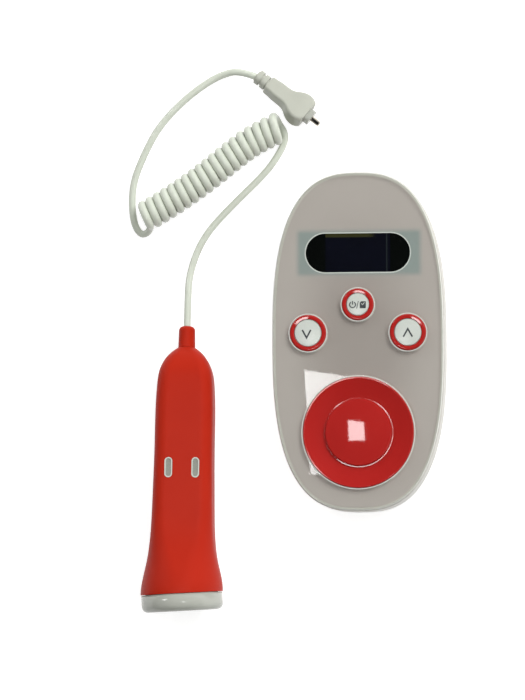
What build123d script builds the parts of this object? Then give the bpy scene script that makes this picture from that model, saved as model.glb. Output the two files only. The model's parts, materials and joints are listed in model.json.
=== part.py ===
"""Fetal doppler monitor: an oval console, a handheld probe, and the curly cord that joins them.

All sizes are in millimetres. The console lies on its back, its front face towards +Z and its
display end towards +Y. The origin is the centre of the console's flat back. The probe lies on the
same surface to the console's left (-X), with its cord and plug beyond its tail (+Y).
"""
from build123d import *
from math import atan, copysign, cos, degrees, pi, radians, sin, tan
import os

os.makedirs("parts", exist_ok=True)

# ---------------------------------------------------------------- driving dimensions
# Clearances
fit_gap = 0.1            # between a seated piece and its pocket
slide_gap = 0.25         # round a piece that moves
screw_gap = 0.05         # round a screw's shank in its pilot hole

# Console case
console_half_width = 38.15
console_half_length = 75.0
outline_squareness = 2.7     # exponent of the oval outline; 2 would be an ellipse
outline_point_count = 32
case_wall = 2.0
back_edge_radius = 8.0
parting_height = 14.0        # the rear and front shells meet here
case_height = 25.5           # top of the front shell
front_edge_radius = 0.6
lip_height = 1.8             # locating lip of the front shell inside the rear one
lip_wall = 1.1

# Front panel and the film printed on its underside
film_thickness = 0.25
panel_thickness = 2.0
panel_inset = 0.3            # panel edge inside the edge of the front shell
panel_chamfer = 0.4
clear_border = 1.9           # unprinted border round the panel
clear_ring = 0.65            # unprinted ring round each button
button_hole_gap = 0.2        # panel hole round a button's bezel

# Display
display_y = 39.2
pill_length = 46.2           # unprinted window in the film
pill_width = 17.2
window_length = 55.0         # opening in the front shell
window_width = 20.7
window_corner = 1.5
glass_length = 28.6
glass_thickness = 1.0

# Buttons: centre, radius over the bezel, radius of the cap
button_places = {
    "power": (0.0, 16.2, 7.05, 5.0),
    "down": (-22.1, 3.7, 8.05, 5.97),
    "up": (22.1, 3.7, 8.05, 5.97),
}
button_travel = 0.7
bezel_side_height = 1.9      # straight sides of a bezel above the front shell
bezel_roundness = 0.9        # rise of its crown over half its width
bezel_skirt_step = 0.8       # the skirt is this much smaller than the bezel
cap_height = 2.4             # rim of a cap above the front shell
cap_dome = 0.35
cap_wall = 1.2
cap_flange = 1.0
cap_flange_thickness = 0.8
cap_stem_radius = 1.5
cap_rim_round = 0.3

# Speaker cover in the front, and the loudspeaker behind it
speaker_y = -40.3
cover_radius = 24.55
cover_rim_height = 2.4       # rim of the dish above the front shell
cover_rim_width = 0.6
dish_depth = 2.3             # fall of the dish from its rim to the sound slot
dish_wall = 1.2
dish_sag = 0.44              # height of the dish half-way in, as a share of its depth
cover_foot_width = 1.4
cover_skirt_depth = 1.5
cover_skirt_wall = 1.0
cover_hole_gap = 0.3
sound_opening_radius = 13.0
sound_cap_radius = 14.75
sound_cap_edge = 0.9
sound_cap_round = 0.35
sound_slot = 0.8             # height of the slot under the cap's edge
sound_cap_dome_radius = 136.0
hub_radius = 4.0
spoke_width = 1.6
cap_pin_radius = 1.5
loudspeaker_radius = 25.3
loudspeaker_flange = 1.2
loudspeaker_step_radius = 21.5
basket_wall = 0.8
basket_depth = 9.5
basket_window_count = 4
basket_window_margin = 1.6   # metal left above the basket's floor, below its windows
magnet_radius = 12.0
magnet_height = 6.5
cone_edge_radius = 20.0
cone_throat_radius = 8.0
cone_depth = 5.5
cone_wall = 0.5
dust_cap_rise = 2.5

# Battery bay, two AA cells side by side along X
cell_radius = 7.1
cell_length = 49.2
cell_nub_radius = 2.75
cell_nub_length = 1.3
battery_y = 25.0
bay_length = 54.0
bay_width = 31.0
bay_height = 17.2            # underside of the bay's roof
bay_wall = 2.0
bay_roof = 1.2
door_length = 56.5
door_width = 33.5
door_thickness = 1.8
door_corner = 2.0
tab_length = 8.0
tab_reach = 2.2
tab_thickness = 1.1
tab_spacing = 34.0
tab_slot_height = 3.0
latch_length = 10.0
latch_height = 4.0
latch_wall = 1.1
grip_count = 4
grip_pitch = 2.2
grip_length = 16.0
grip_width = 1.1
grip_depth = 0.4
contact_thickness = 0.4
contact_width = 9.0
contact_height = 9.0
spring_radius = 3.2
spring_wire = 0.6
spring_turns = 3

# Main board
board_thickness = 1.6
board_half_width = 27.2
board_bottom_y = -12.0
board_top_y = 54.0
board_corner = 2.0
switch_size = 6.0
switch_body = 1.2
switch_height = 1.6
switch_plunger_radius = 1.75
post_radius = 2.0
post_x = 24.0
chip_size = 9.0
chip_height = 1.2
chip_places = [(-8.0, -5.0), (8.0, -5.0)]
capacitor_radius = 1.5
capacitor_height = 2.4
capacitor_places = [(-14.0, 21.0), (14.0, 21.0)]

# Case screws: a pair at each end and one at the waist, each so far inside the outline's extents
bottom_screw_x = 13.5
bottom_screw_inset = 8.5
waist_screw_inset = 7.15
waist_screw_y = -8.0
top_screw_x = 19.0
top_screw_inset = 15.5
screw_boss_radius = 3.5
screw_head_radius = 2.3
screw_head_height = 1.8
screw_head_recess = 1.2      # the head lies this deep in the back
screw_shank_radius = 1.2
screw_reach = 8.0            # how far a case screw goes into the front shell
screw_clearance = 0.3
screw_recess_span = 2.8      # arms of the cross recess, end to end
screw_recess_width = 0.45

# Sockets in the display end
probe_socket_x = -9.0
earphone_socket_x = 9.0
socket_height = 19.0
socket_nozzle_radius = 3.0
socket_body = 7.0
socket_length = 12.0
probe_pin_radius = 1.25
probe_bore_depth = 10.0
bore_gap = 0.05
earphone_bore_radius = 1.8
earphone_bore_depth = 11.0

# Probe: where its tail is, how it lies, and its sections along its own axis
probe_tail_x = -77.6
probe_tail_y = 8.4
probe_lean = 0.85            # degrees, head towards -X
relief_length = 9.6
relief_radius = 3.8
relief_tip_radius = 3.55
relief_tip_round = 2.0
relief_neck_radius = 2.7
relief_flange_thickness = 1.4
probe_wall = 2.0
heel_station = 26.0          # the handle rests on its back here
head_turn = 3.6              # degrees that the head is turned from the handle's axis
head_tip = 6.0               # degrees that its face is tipped back, so that it stands upright
lip_radius = 18.25
# distance from the tail tip, width, depth, corner radius, share of the head's turn
handle_sections = [
    (9.7, 7.6, 7.4, 3.2, 0.0),
    (11.6, 12.6, 10.8, 4.2, 0.0),
    (13.9, 16.9, 14.2, 4.9, 0.0),
    (17.4, 21.0, 17.4, 5.4, 0.0),
    (21.0, 23.4, 19.4, 5.6, 0.0),
    (26.0, 24.7, 20.4, 5.6, 0.0),
    (54.0, 25.9, 21.2, 5.6, 0.0),
    (79.6, 26.8, 22.0, 5.8, 0.0),
    (90.2, 27.5, 23.0, 6.6, 0.0),
    (97.4, 28.7, 25.0, 8.6, 0.1),
    (104.6, 31.0, 28.8, 12.2, 0.35),
    (110.6, 33.9, 32.8, 15.6, 0.65),
    (115.4, 35.9, 35.6, 17.5, 0.9),
    (119.4, 36.5, 36.5, 18.15, 1.0),
]
cavity_start = 14.8          # the hollow begins here, behind the handle's end wall
cavity_start_width = 11.5
cavity_start_depth = 9.0
cavity_start_corner = 3.5
cavity_corner_floor = 1.2
cap_radius = 18.05
cap_seam = 0.25
cap_length = 8.3
cap_wall_thickness = 2.0
cap_face_thickness = 1.3
cap_corner_radius = 1.5
cap_spigot_length = 2.1
crystal_radius = 10.0
crystal_thickness = 1.0
crystal_split = 1.2
backing_radius = 13.5
backing_thickness = 4.0
indicator_station = 64.6
indicator_spread = 6.0       # each side of the axis
indicator_length = 9.0
indicator_width = 3.4
indicator_rim = 0.5
indicator_recess = 0.5
indicator_proud = 0.15
indicator_depth = 2.6
probe_board_overhang = 4.0   # past the two bosses that clamp it
probe_board_width = 16.0
probe_board_thickness = 1.2
probe_screw_stations = [33.0, 99.0]
probe_boss_radius = 3.0
probe_screw_head_radius = 2.0
probe_screw_shank_radius = 1.0
probe_screw_head_height = 1.25
probe_screw_recess = 2.5
probe_screw_bite = 4.0

# Cord and plug
cord_diameter = 3.1
floor_gap = 0.2
coil_diameter = 13.2
relief_lead_length = 12.4    # straight run of cord out of the probe's strain relief
arc_share = 0.45             # an arc's tangent, as a share of the shorter run beside it
plug_tail = (-46.1, 120.4)
plug_heading = -38.6         # degrees in the XY plane, from +X
plug_roll = 23.0
plug_axis_height = 6.7
plug_relief_length = 6.2
plug_rib_count = 2
plug_rib_thickness = 2.1
plug_rib_size = 6.2
plug_rib_corner = 2.2
plug_relief_core = 5.2
# distance from the relief, width, depth, corner radius
plug_sections = [
    (0.0, 6.2, 6.0, 1.5),
    (1.6, 7.2, 6.6, 1.2),
    (5.0, 7.6, 6.9, 1.1),
    (9.0, 7.7, 7.1, 1.1),
    (11.6, 8.4, 7.5, 1.1),
    (14.0, 11.0, 8.3, 1.2),
    (16.2, 13.1, 8.9, 1.3),
    (18.6, 13.9, 9.2, 1.4),
    (20.6, 13.4, 9.0, 1.7),
    (22.4, 11.6, 8.2, 2.2),
]
plug_collar_width = 6.6
plug_collar_depth = 5.0
plug_collar_corner = 1.6
plug_collar_length = 2.6
plug_pin_length = 4.5
plug_pin_round = 0.875
plug_pin_seat = 8.0
plug_shank_radius = 1.6      # wider part of the pin, moulded into the body and the collar

# Routes of the cord's two plain runs and of the coil's axis, chosen by eye
plug_run_points = [
    (-53.7, 123.2, 4.8),
    (-62.6, 121.5, 2.0),
    (-70.9, 116.9, 1.6),
    (-80.3, 109.6, 1.6),
    (-91.0, 98.4, 1.6),
    (-98.0, 84.8, 1.6),
    (-103.2, 70.2, 1.6),
    (-102.3, 58.2, 1.6),
    (-95.8, 51.7, 2.6),
]
coil_points = [
    (-97.4, 57.1, 6.65),
    (-85.5, 63.9, 6.65),
    (-70.9, 73.8, 6.65),
    (-57.4, 84.6, 6.65),
    (-46.7, 92.5, 6.65),
    (-36.1, 97.1, 6.65),
]
probe_run_points = [
    (-34.4, 95.4, 3.0),
    (-35.7, 87.6, 1.6),
    (-42.5, 77.5, 1.6),
    (-56.6, 64.2, 1.6),
    (-70.7, 49.4, 1.6),
    (-76.9, 33.5, 3.0),
]

# ---------------------------------------------------------------- derived levels and places
film_top = case_height + film_thickness
panel_top = film_top + panel_thickness
plate_underside = case_height - case_wall
board_underside = bay_height + bay_roof
board_top = board_underside + board_thickness
speaker_axis = Axis((0, speaker_y, 0), (0, 0, 1))
screw_places = []
for side in (-1, 1):
    screw_places.append((side * bottom_screw_x, bottom_screw_inset - console_half_length))
    screw_places.append((side * (console_half_width - waist_screw_inset), waist_screw_y))
    screw_places.append((side * top_screw_x, console_half_length - top_screw_inset))
cap_underside = board_top + switch_height + slide_gap + button_travel
cap_flange_top = cap_underside + cap_flange_thickness


def oval_points(inset):
    """Points of the console's outline, inset all round: a superellipse, counter-clockwise."""
    power = 2 / outline_squareness
    points = []
    for index in range(outline_point_count):
        turn = 2 * pi * index / outline_point_count
        x = copysign(abs(cos(turn)) ** power, cos(turn)) * (console_half_width - inset)
        y = copysign(abs(sin(turn)) ** power, sin(turn)) * (console_half_length - inset)
        points.append((x, y))
    return points


def oval_tub(inset, floor, top, edge_radius):
    """A solid oval tub that stands on its rounded back edge."""
    with BuildPart() as tub:
        with BuildSketch(Plane.XY.offset(floor)):
            with BuildLine():
                Spline(*oval_points(inset), periodic=True)
            make_face()
        extrude(amount=top - floor)
        fillet(tub.faces().sort_by(Axis.Z)[0].edges(), edge_radius)
    return tub.part


def oval_block(inset, low, high):
    """A solid block of the oval outline between two heights."""
    with BuildPart() as block:
        with BuildSketch(Plane.XY.offset(low)):
            with BuildLine():
                Spline(*oval_points(inset), periodic=True)
            make_face()
        extrude(amount=high - low)
    return block.part


def dome_middle(radius, rise):
    """Radius and rise of the point half-way along a dome's arc from its edge to its crown."""
    sphere = (radius ** 2 + rise ** 2) / (2 * rise)
    return radius / 2, rise - sphere + (sphere ** 2 - radius ** 2 / 4) ** 0.5


def upright_plane(x, y):
    """A vertical section plane through (x, y): its X is the radius, its Y the height."""
    return Plane(origin=(x, y, 0), x_dir=(1, 0, 0), z_dir=(0, -1, 0))


# ================================================================ console
# ---------------------------------------------------------------- rear shell
# A tub with a rounded back edge. The battery bay is moulded into it, open to the back and
# roofed over, with a recess for the door. The screw bosses are counterbored from the back.
tub_outside = oval_tub(0, 0, parting_height, back_edge_radius)
tub_inside = oval_tub(case_wall, case_wall, parting_height + lip_height, back_edge_radius - case_wall)
door_pocket_length = door_length + 2 * slide_gap
door_pocket_width = door_width + 2 * slide_gap
door_pocket_depth = door_thickness + fit_gap
door_hinge_y = battery_y + door_width / 2 + slide_gap / 2
bay_block_length = door_pocket_length + 2 * lip_wall
bay_block_width = door_pocket_width + 2 * lip_wall

with BuildPart() as rear_shell:
    add(tub_outside)
    add(tub_inside, mode=Mode.SUBTRACT)
    with BuildSketch(Plane.XY.offset(case_wall)):
        with Locations((0, battery_y)):
            RectangleRounded(bay_block_length, bay_block_width, door_corner)
    extrude(amount=door_pocket_depth + latch_height + tab_slot_height - case_wall)
    with BuildSketch(Plane.XY.offset(case_wall)):
        with Locations((0, battery_y)):
            RectangleRounded(bay_length + 2 * bay_wall, bay_width + 2 * bay_wall, door_corner)
    extrude(amount=board_underside - case_wall)
    with BuildSketch(Plane.XY.offset(case_wall)):
        with Locations(*screw_places):
            Circle(screw_boss_radius)
    extrude(amount=parting_height - case_wall)
    with BuildSketch(Plane.XY):
        with Locations((0, battery_y)):
            RectangleRounded(door_pocket_length, door_pocket_width, door_corner + slide_gap)
    extrude(amount=door_pocket_depth, mode=Mode.SUBTRACT)
    with BuildSketch(Plane.XY.offset(door_pocket_depth)):
        with Locations((0, battery_y)):
            Rectangle(bay_length, bay_width)
    extrude(amount=bay_height - door_pocket_depth, mode=Mode.SUBTRACT)
    # slots in the bay's wall for the door's two tabs and its latch
    with BuildSketch(Plane.XY.offset(door_pocket_depth)):
        for side in (-1, 1):
            with Locations((side * tab_spacing / 2, door_hinge_y + tab_reach / 2 - case_wall)):
                Rectangle(tab_length + 2 * slide_gap, tab_reach + 2 * case_wall + 2 * slide_gap)
    extrude(amount=tab_slot_height, mode=Mode.SUBTRACT)
    with BuildSketch(Plane.XY.offset(door_pocket_depth)):
        with Locations((0, battery_y - bay_width / 2)):
            Rectangle(latch_length + 2 * slide_gap, 2 * (latch_wall + 2 * slide_gap))
    extrude(amount=latch_height + slide_gap, mode=Mode.SUBTRACT)
    with Locations(*[(x, y, 0) for x, y in screw_places]):
        Hole(screw_shank_radius + screw_clearance, depth=parting_height)
        Cylinder(
            screw_head_radius + screw_clearance,
            screw_head_recess + screw_head_height,
            align=(Align.CENTER, Align.CENTER, Align.MIN),
            mode=Mode.SUBTRACT,
        )
rear_shell.part.label = "rear_shell"
export_step(rear_shell.part, "parts/rear_shell.step")

# ---------------------------------------------------------------- front shell
# The rim and front plate, with a locating lip, the display window, a hole for each button and
# for the speaker cover, screw bosses, and two posts that clamp the board.
shell_outside = oval_block(0, parting_height, case_height)
shell_inside = oval_block(case_wall, parting_height + lip_height, plate_underside)
lip_outside = oval_block(case_wall + fit_gap, parting_height - lip_height, parting_height)
lip_hollow = oval_block(case_wall + lip_wall, parting_height - lip_height, parting_height + lip_height)

with BuildPart() as front_shell:
    add(shell_outside)
    fillet(front_shell.faces().sort_by(Axis.Z)[-1].edges(), front_edge_radius)
    add(lip_outside)
    add(shell_inside, mode=Mode.SUBTRACT)
    add(lip_hollow, mode=Mode.SUBTRACT)
    with BuildSketch(Plane.XY.offset(parting_height - lip_height)):
        with Locations(*screw_places):
            Circle(screw_boss_radius + slide_gap)
    extrude(amount=lip_height, mode=Mode.SUBTRACT)
    with BuildSketch(Plane.XY.offset(parting_height)):
        with Locations(*screw_places):
            Circle(screw_boss_radius)
    extrude(amount=plate_underside - parting_height)
    with BuildSketch(Plane.XY.offset(board_top)):
        with Locations((-post_x, board_bottom_y + post_radius), (post_x, board_bottom_y + post_radius)):
            Circle(post_radius)
        with Locations((-post_x, board_top_y - post_radius), (post_x, board_top_y - post_radius)):
            Circle(post_radius)
    extrude(amount=plate_underside - board_top)
    with BuildSketch(Plane.XY.offset(plate_underside)):
        with Locations((0, display_y)):
            RectangleRounded(window_length, window_width, window_corner)
        with Locations((0, speaker_y)):
            Circle(cover_radius - cover_foot_width)
        for x, y, bezel_radius, _ in button_places.values():
            with Locations((x, y)):
                Circle(bezel_radius - bezel_skirt_step + fit_gap)
    extrude(amount=case_wall, mode=Mode.SUBTRACT)
    with BuildSketch(Plane.XY.offset(parting_height)):
        with Locations(*screw_places):
            Circle(screw_shank_radius + screw_gap)
    extrude(amount=screw_reach, mode=Mode.SUBTRACT)
    for x in (probe_socket_x, earphone_socket_x):
        with BuildSketch(Plane.XZ.offset(-console_half_length)):
            with Locations((x, socket_height)):
                Circle(socket_nozzle_radius + fit_gap)
        extrude(amount=4 * case_wall, mode=Mode.SUBTRACT)
front_shell.part.label = "front_shell"
export_step(front_shell.part, "parts/front_shell.step")

# ---------------------------------------------------------------- printed film and clear panel
# The film is the grey print under the clear panel: it stops short of the panel's edge and of
# every hole, so that a clear border shows the white shell. The panel lies on the film.
film_blank = oval_block(panel_inset + clear_border, case_height, film_top)
panel_blank = oval_block(panel_inset, film_top, panel_top)

with BuildPart() as printed_film:
    add(film_blank)
    with BuildSketch(Plane.XY.offset(case_height)):
        with Locations((0, display_y)):
            SlotOverall(pill_length, pill_width)
        with Locations((0, speaker_y)):
            Circle(cover_radius + cover_hole_gap + clear_ring)
        for x, y, bezel_radius, _ in button_places.values():
            with Locations((x, y)):
                Circle(bezel_radius + button_hole_gap + clear_ring)
    extrude(amount=film_thickness, mode=Mode.SUBTRACT)
printed_film.part.label = "printed_film"
export_step(printed_film.part, "parts/printed_film.step")

with BuildPart() as front_panel:
    add(panel_blank)
    chamfer(front_panel.faces().sort_by(Axis.Z)[-1].edges(), panel_chamfer)
    with BuildSketch(Plane.XY.offset(film_top)):
        with Locations((0, speaker_y)):
            Circle(cover_radius + cover_hole_gap)
        for x, y, bezel_radius, _ in button_places.values():
            with Locations((x, y)):
                Circle(bezel_radius + button_hole_gap)
    extrude(amount=panel_thickness, mode=Mode.SUBTRACT)
front_panel.part.label = "front_panel"
export_step(front_panel.part, "parts/front_panel.step")

# ---------------------------------------------------------------- display
# A black frame stands on the board and fills the shell's window; the glass is let into it.
with BuildPart() as display_frame:
    with BuildSketch(Plane.XY.offset(board_top)):
        with Locations((0, display_y)):
            RectangleRounded(window_length - 2 * fit_gap, window_width - 2 * fit_gap, window_corner)
    extrude(amount=case_height - board_top)
    with BuildSketch(Plane.XY.offset(case_height - glass_thickness)):
        with Locations((0, display_y)):
            Rectangle(glass_length + 2 * fit_gap, pill_width + 2 * fit_gap)
    extrude(amount=glass_thickness, mode=Mode.SUBTRACT)
display_frame.part.label = "display_frame"
export_step(display_frame.part, "parts/display_frame.step")

with BuildPart() as display_glass:
    with BuildSketch(Plane.XY.offset(case_height - glass_thickness)):
        with Locations((0, display_y)):
            Rectangle(glass_length, pill_width)
    extrude(amount=glass_thickness)
display_glass.part.label = "display_glass"
export_step(display_glass.part, "parts/display_glass.step")

# ---------------------------------------------------------------- buttons
# Each button is a hollow cap with a flange that holds it under its bezel and a stem over its
# switch. The bezel is a convex ring, bonded into the shell by its skirt.
cap_rim = case_height + cap_height
for name, (x, y, bezel_radius, cap_radius_here) in button_places.items():
    bezel_bore = cap_radius_here + slide_gap
    bezel_skirt = bezel_radius - bezel_skirt_step
    bezel_half = (bezel_radius - bezel_bore) / 2
    bezel_side_top = case_height + bezel_side_height
    with BuildPart() as bezel:
        with BuildSketch(upright_plane(x, y)):
            with BuildLine():
                Polyline(
                    (bezel_bore, bezel_side_top),
                    (bezel_bore, plate_underside + fit_gap),
                    (bezel_skirt, plate_underside + fit_gap),
                    (bezel_skirt, case_height),
                    (bezel_radius, case_height),
                    (bezel_radius, bezel_side_top),
                )
                ThreePointArc(
                    (bezel_radius, bezel_side_top),
                    (bezel_bore + bezel_half, bezel_side_top + bezel_half * bezel_roundness),
                    (bezel_bore, bezel_side_top),
                )
            make_face()
        revolve(axis=Axis((x, y, 0), (0, 0, 1)))
    bezel.part.label = f"{name}_bezel"
    export_step(bezel.part, f"parts/{name}_bezel.step")

    middle_radius, middle_rise = dome_middle(cap_radius_here - cap_rim_round, cap_dome)
    with BuildPart() as cap:
        with BuildSketch(upright_plane(x, y)):
            with BuildLine():
                Polyline(
                    (0, cap_rim + cap_dome),
                    (0, cap_underside),
                    (cap_stem_radius, cap_underside),
                    (cap_stem_radius, cap_rim - cap_wall),
                    (cap_radius_here - cap_wall, cap_rim - cap_wall),
                    (cap_radius_here - cap_wall, cap_underside),
                    (cap_radius_here + cap_flange, cap_underside),
                    (cap_radius_here + cap_flange, cap_flange_top),
                    (cap_radius_here, cap_flange_top),
                    (cap_radius_here, cap_rim - cap_rim_round),
                    (cap_radius_here - cap_rim_round, cap_rim),
                )
                ThreePointArc(
                    (cap_radius_here - cap_rim_round, cap_rim),
                    (middle_radius, cap_rim + middle_rise),
                    (0, cap_rim + cap_dome),
                )
            make_face()
        revolve(axis=Axis((x, y, 0), (0, 0, 1)))
    cap.part.label = f"{name}_button"
    export_step(cap.part, f"parts/{name}_button.step")

# ---------------------------------------------------------------- speaker cover
# A dished ring stands on the shell round its hole. Its middle is open, with four spokes to a
# hub, and a domed cap is pinned into the hub, so that the sound leaves by the slot under it.
rim_level = case_height + cover_rim_height
slot_level = rim_level - dish_depth
foot_inner_radius = cover_radius - cover_foot_width
skirt_outer_radius = foot_inner_radius - fit_gap
skirt_inner_radius = skirt_outer_radius - cover_skirt_wall
dish_flat_radius = sound_cap_radius + cover_rim_width

with BuildPart() as speaker_cover:
    with BuildSketch(upright_plane(0, speaker_y)):
        with BuildLine():
            Polyline(
                (dish_flat_radius, slot_level),
                (sound_opening_radius, slot_level),
                (sound_opening_radius, slot_level - dish_wall),
                (dish_flat_radius, slot_level - dish_wall),
                (skirt_inner_radius, case_height - dish_wall / 2),
                (skirt_inner_radius, case_height - cover_skirt_depth),
                (skirt_outer_radius, case_height - cover_skirt_depth),
                (skirt_outer_radius, case_height),
                (cover_radius, case_height),
                (cover_radius, rim_level - cover_rim_width / 2),
                (cover_radius - cover_rim_width / 2, rim_level),
                (cover_radius - cover_rim_width, rim_level),
            )
            ThreePointArc(
                (cover_radius - cover_rim_width, rim_level),
                ((cover_radius + sound_cap_radius) / 2, slot_level + dish_depth * dish_sag),
                (dish_flat_radius, slot_level),
            )
        make_face()
    revolve(axis=speaker_axis)
    with BuildSketch(Plane.XY.offset(slot_level - dish_wall)):
        with Locations((0, speaker_y)):
            Rectangle(2 * sound_opening_radius + dish_wall, spoke_width)
            Rectangle(spoke_width, 2 * sound_opening_radius + dish_wall)
            Circle(hub_radius)
    extrude(amount=dish_wall)
    with BuildSketch(Plane.XY.offset(slot_level - dish_wall)):
        with Locations((0, speaker_y)):
            Circle(cap_pin_radius + screw_gap)
    extrude(amount=dish_wall, mode=Mode.SUBTRACT)
speaker_cover.part.label = "speaker_cover"
export_step(speaker_cover.part, "parts/speaker_cover.step")

sound_cap_bottom = slot_level + sound_slot
sound_cap_rim = sound_cap_bottom + sound_cap_edge
dome_edge_radius = sound_cap_radius - sound_cap_round
dome_rise = sound_cap_dome_radius - (sound_cap_dome_radius ** 2 - dome_edge_radius ** 2) ** 0.5
middle_radius, middle_rise = dome_middle(dome_edge_radius, dome_rise)

with BuildPart() as speaker_cap:
    with BuildSketch(upright_plane(0, speaker_y)):
        with BuildLine():
            Polyline(
                (0, sound_cap_rim + dome_rise),
                (0, slot_level - dish_wall),
                (cap_pin_radius, slot_level - dish_wall),
                (cap_pin_radius, slot_level),
                (hub_radius, slot_level),
                (hub_radius, sound_cap_bottom),
                (sound_cap_radius - sound_cap_round, sound_cap_bottom),
                (sound_cap_radius, sound_cap_bottom + sound_cap_round),
                (sound_cap_radius, sound_cap_rim - sound_cap_round),
                (dome_edge_radius, sound_cap_rim),
            )
            ThreePointArc(
                (dome_edge_radius, sound_cap_rim),
                (middle_radius, sound_cap_rim + middle_rise),
                (0, sound_cap_rim + dome_rise),
            )
        make_face()
    revolve(axis=speaker_axis)
speaker_cap.part.label = "speaker_cap"
export_step(speaker_cap.part, "parts/speaker_cap.step")

# ---------------------------------------------------------------- loudspeaker
# A pressed basket with four windows hangs from the front plate and carries the magnet; the
# cone and its dust cap are one moulded paper piece.
basket_top = plate_underside
basket_bottom = basket_top - loudspeaker_flange - basket_depth
with BuildPart() as loudspeaker_basket:
    with BuildSketch(upright_plane(0, speaker_y)):
        with BuildLine():
            Polyline(
                (loudspeaker_step_radius, basket_top),
                (loudspeaker_radius, basket_top),
                (loudspeaker_radius, basket_top - loudspeaker_flange),
                (loudspeaker_step_radius + basket_wall, basket_top - loudspeaker_flange),
                (magnet_radius + basket_wall, basket_bottom),
                (0, basket_bottom),
                (0, basket_bottom + basket_wall),
                (magnet_radius, basket_bottom + basket_wall),
                (loudspeaker_step_radius, basket_top - loudspeaker_flange),
                close=True,
            )
        make_face()
    revolve(axis=speaker_axis)
    with BuildSketch(Plane.XY.offset(basket_bottom + basket_window_margin)):
        with Locations((0, speaker_y)):
            with PolarLocations(
                (magnet_radius + loudspeaker_step_radius) / 2,
                basket_window_count,
                start_angle=180 / basket_window_count,
            ):
                RectangleRounded(
                    loudspeaker_step_radius - magnet_radius, magnet_radius, basket_window_margin
                )
    extrude(amount=basket_depth - basket_window_margin - basket_wall, mode=Mode.SUBTRACT)
loudspeaker_basket.part.label = "loudspeaker_basket"
export_step(loudspeaker_basket.part, "parts/loudspeaker_basket.step")

with BuildPart() as loudspeaker_magnet:
    with BuildSketch(Plane.XY.offset(basket_bottom - magnet_height)):
        with Locations((0, speaker_y)):
            Circle(magnet_radius)
    extrude(amount=magnet_height)
    chamfer(loudspeaker_magnet.faces().sort_by(Axis.Z)[0].edges(), basket_wall)
loudspeaker_magnet.part.label = "loudspeaker_magnet"
export_step(loudspeaker_magnet.part, "parts/loudspeaker_magnet.step")

cone_top = basket_top - loudspeaker_flange
throat_level = cone_top - cone_depth
cone_outer_radius = loudspeaker_step_radius - fit_gap
middle_radius, middle_rise = dome_middle(cone_throat_radius, dust_cap_rise)
with BuildPart() as loudspeaker_cone:
    with BuildSketch(upright_plane(0, speaker_y)):
        with BuildLine():
            Polyline(
                (0, throat_level + dust_cap_rise),
                (0, throat_level),
                (cone_throat_radius, throat_level - cone_wall),
                (cone_edge_radius, cone_top),
                (cone_outer_radius, cone_top),
                (cone_outer_radius, cone_top + cone_wall),
                (cone_edge_radius, cone_top + cone_wall),
                (cone_throat_radius, throat_level),
            )
            ThreePointArc(
                (cone_throat_radius, throat_level),
                (middle_radius, throat_level + middle_rise),
                (0, throat_level + dust_cap_rise),
            )
        make_face()
    revolve(axis=speaker_axis)
loudspeaker_cone.part.label = "loudspeaker_cone"
export_step(loudspeaker_cone.part, "parts/loudspeaker_cone.step")

# ---------------------------------------------------------------- main board and switches
with BuildPart() as main_board:
    with BuildSketch(Plane.XY.offset(board_underside)):
        with Locations((0, (board_top_y + board_bottom_y) / 2)):
            RectangleRounded(2 * board_half_width, board_top_y - board_bottom_y, board_corner)
    extrude(amount=board_thickness)
main_board.part.label = "main_board"
export_step(main_board.part, "parts/main_board.step")

with BuildPart() as tact_switches:
    with BuildSketch(Plane.XY.offset(board_top)):
        for x, y, _, _ in button_places.values():
            with Locations((x, y)):
                Rectangle(switch_size, switch_size)
    extrude(amount=switch_body)
    with BuildSketch(Plane.XY.offset(board_top + switch_body)):
        for x, y, _, _ in button_places.values():
            with Locations((x, y)):
                Circle(switch_plunger_radius)
    extrude(amount=switch_height - switch_body)
tact_switches.part.label = "tact_switches"
export_step(tact_switches.part, "parts/tact_switches.step")

with BuildPart() as board_components:
    with BuildSketch(Plane.XY.offset(board_top)):
        with Locations(*chip_places):
            Rectangle(chip_size, chip_size)
    extrude(amount=chip_height)
    with BuildSketch(Plane.XY.offset(board_top)):
        with Locations(*capacitor_places):
            Circle(capacitor_radius)
    extrude(amount=capacitor_height)
board_components.part.label = "board_components"
export_step(board_components.part, "parts/board_components.step")

# ---------------------------------------------------------------- sockets
# Each socket is a square body behind the end wall with a round nozzle through it. The nozzle's
# face is flush with the wall; the bore is blind.
socket_face_y = console_half_length - case_wall / 2
socket_sizes = {
    "probe_socket": (probe_socket_x, probe_pin_radius + bore_gap, probe_bore_depth),
    "earphone_socket": (earphone_socket_x, earphone_bore_radius, earphone_bore_depth),
}
for name, (x, bore_radius, bore_depth) in socket_sizes.items():
    nozzle_length = 2 * case_wall
    with BuildPart() as socket:
        with BuildSketch(Plane.XZ.offset(-socket_face_y)):
            with Locations((x, socket_height)):
                Circle(socket_nozzle_radius)
        extrude(amount=nozzle_length)
        with BuildSketch(Plane.XZ.offset(-(socket_face_y - nozzle_length))):
            with Locations((x, socket_height)):
                Rectangle(socket_body, socket_body)
        extrude(amount=socket_length - nozzle_length + fit_gap)
        with BuildSketch(Plane.XZ.offset(-socket_face_y)):
            with Locations((x, socket_height)):
                Circle(bore_radius)
        extrude(amount=bore_depth, mode=Mode.SUBTRACT)
    socket.part.label = name
    export_step(socket.part, f"parts/{name}.step")

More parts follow.
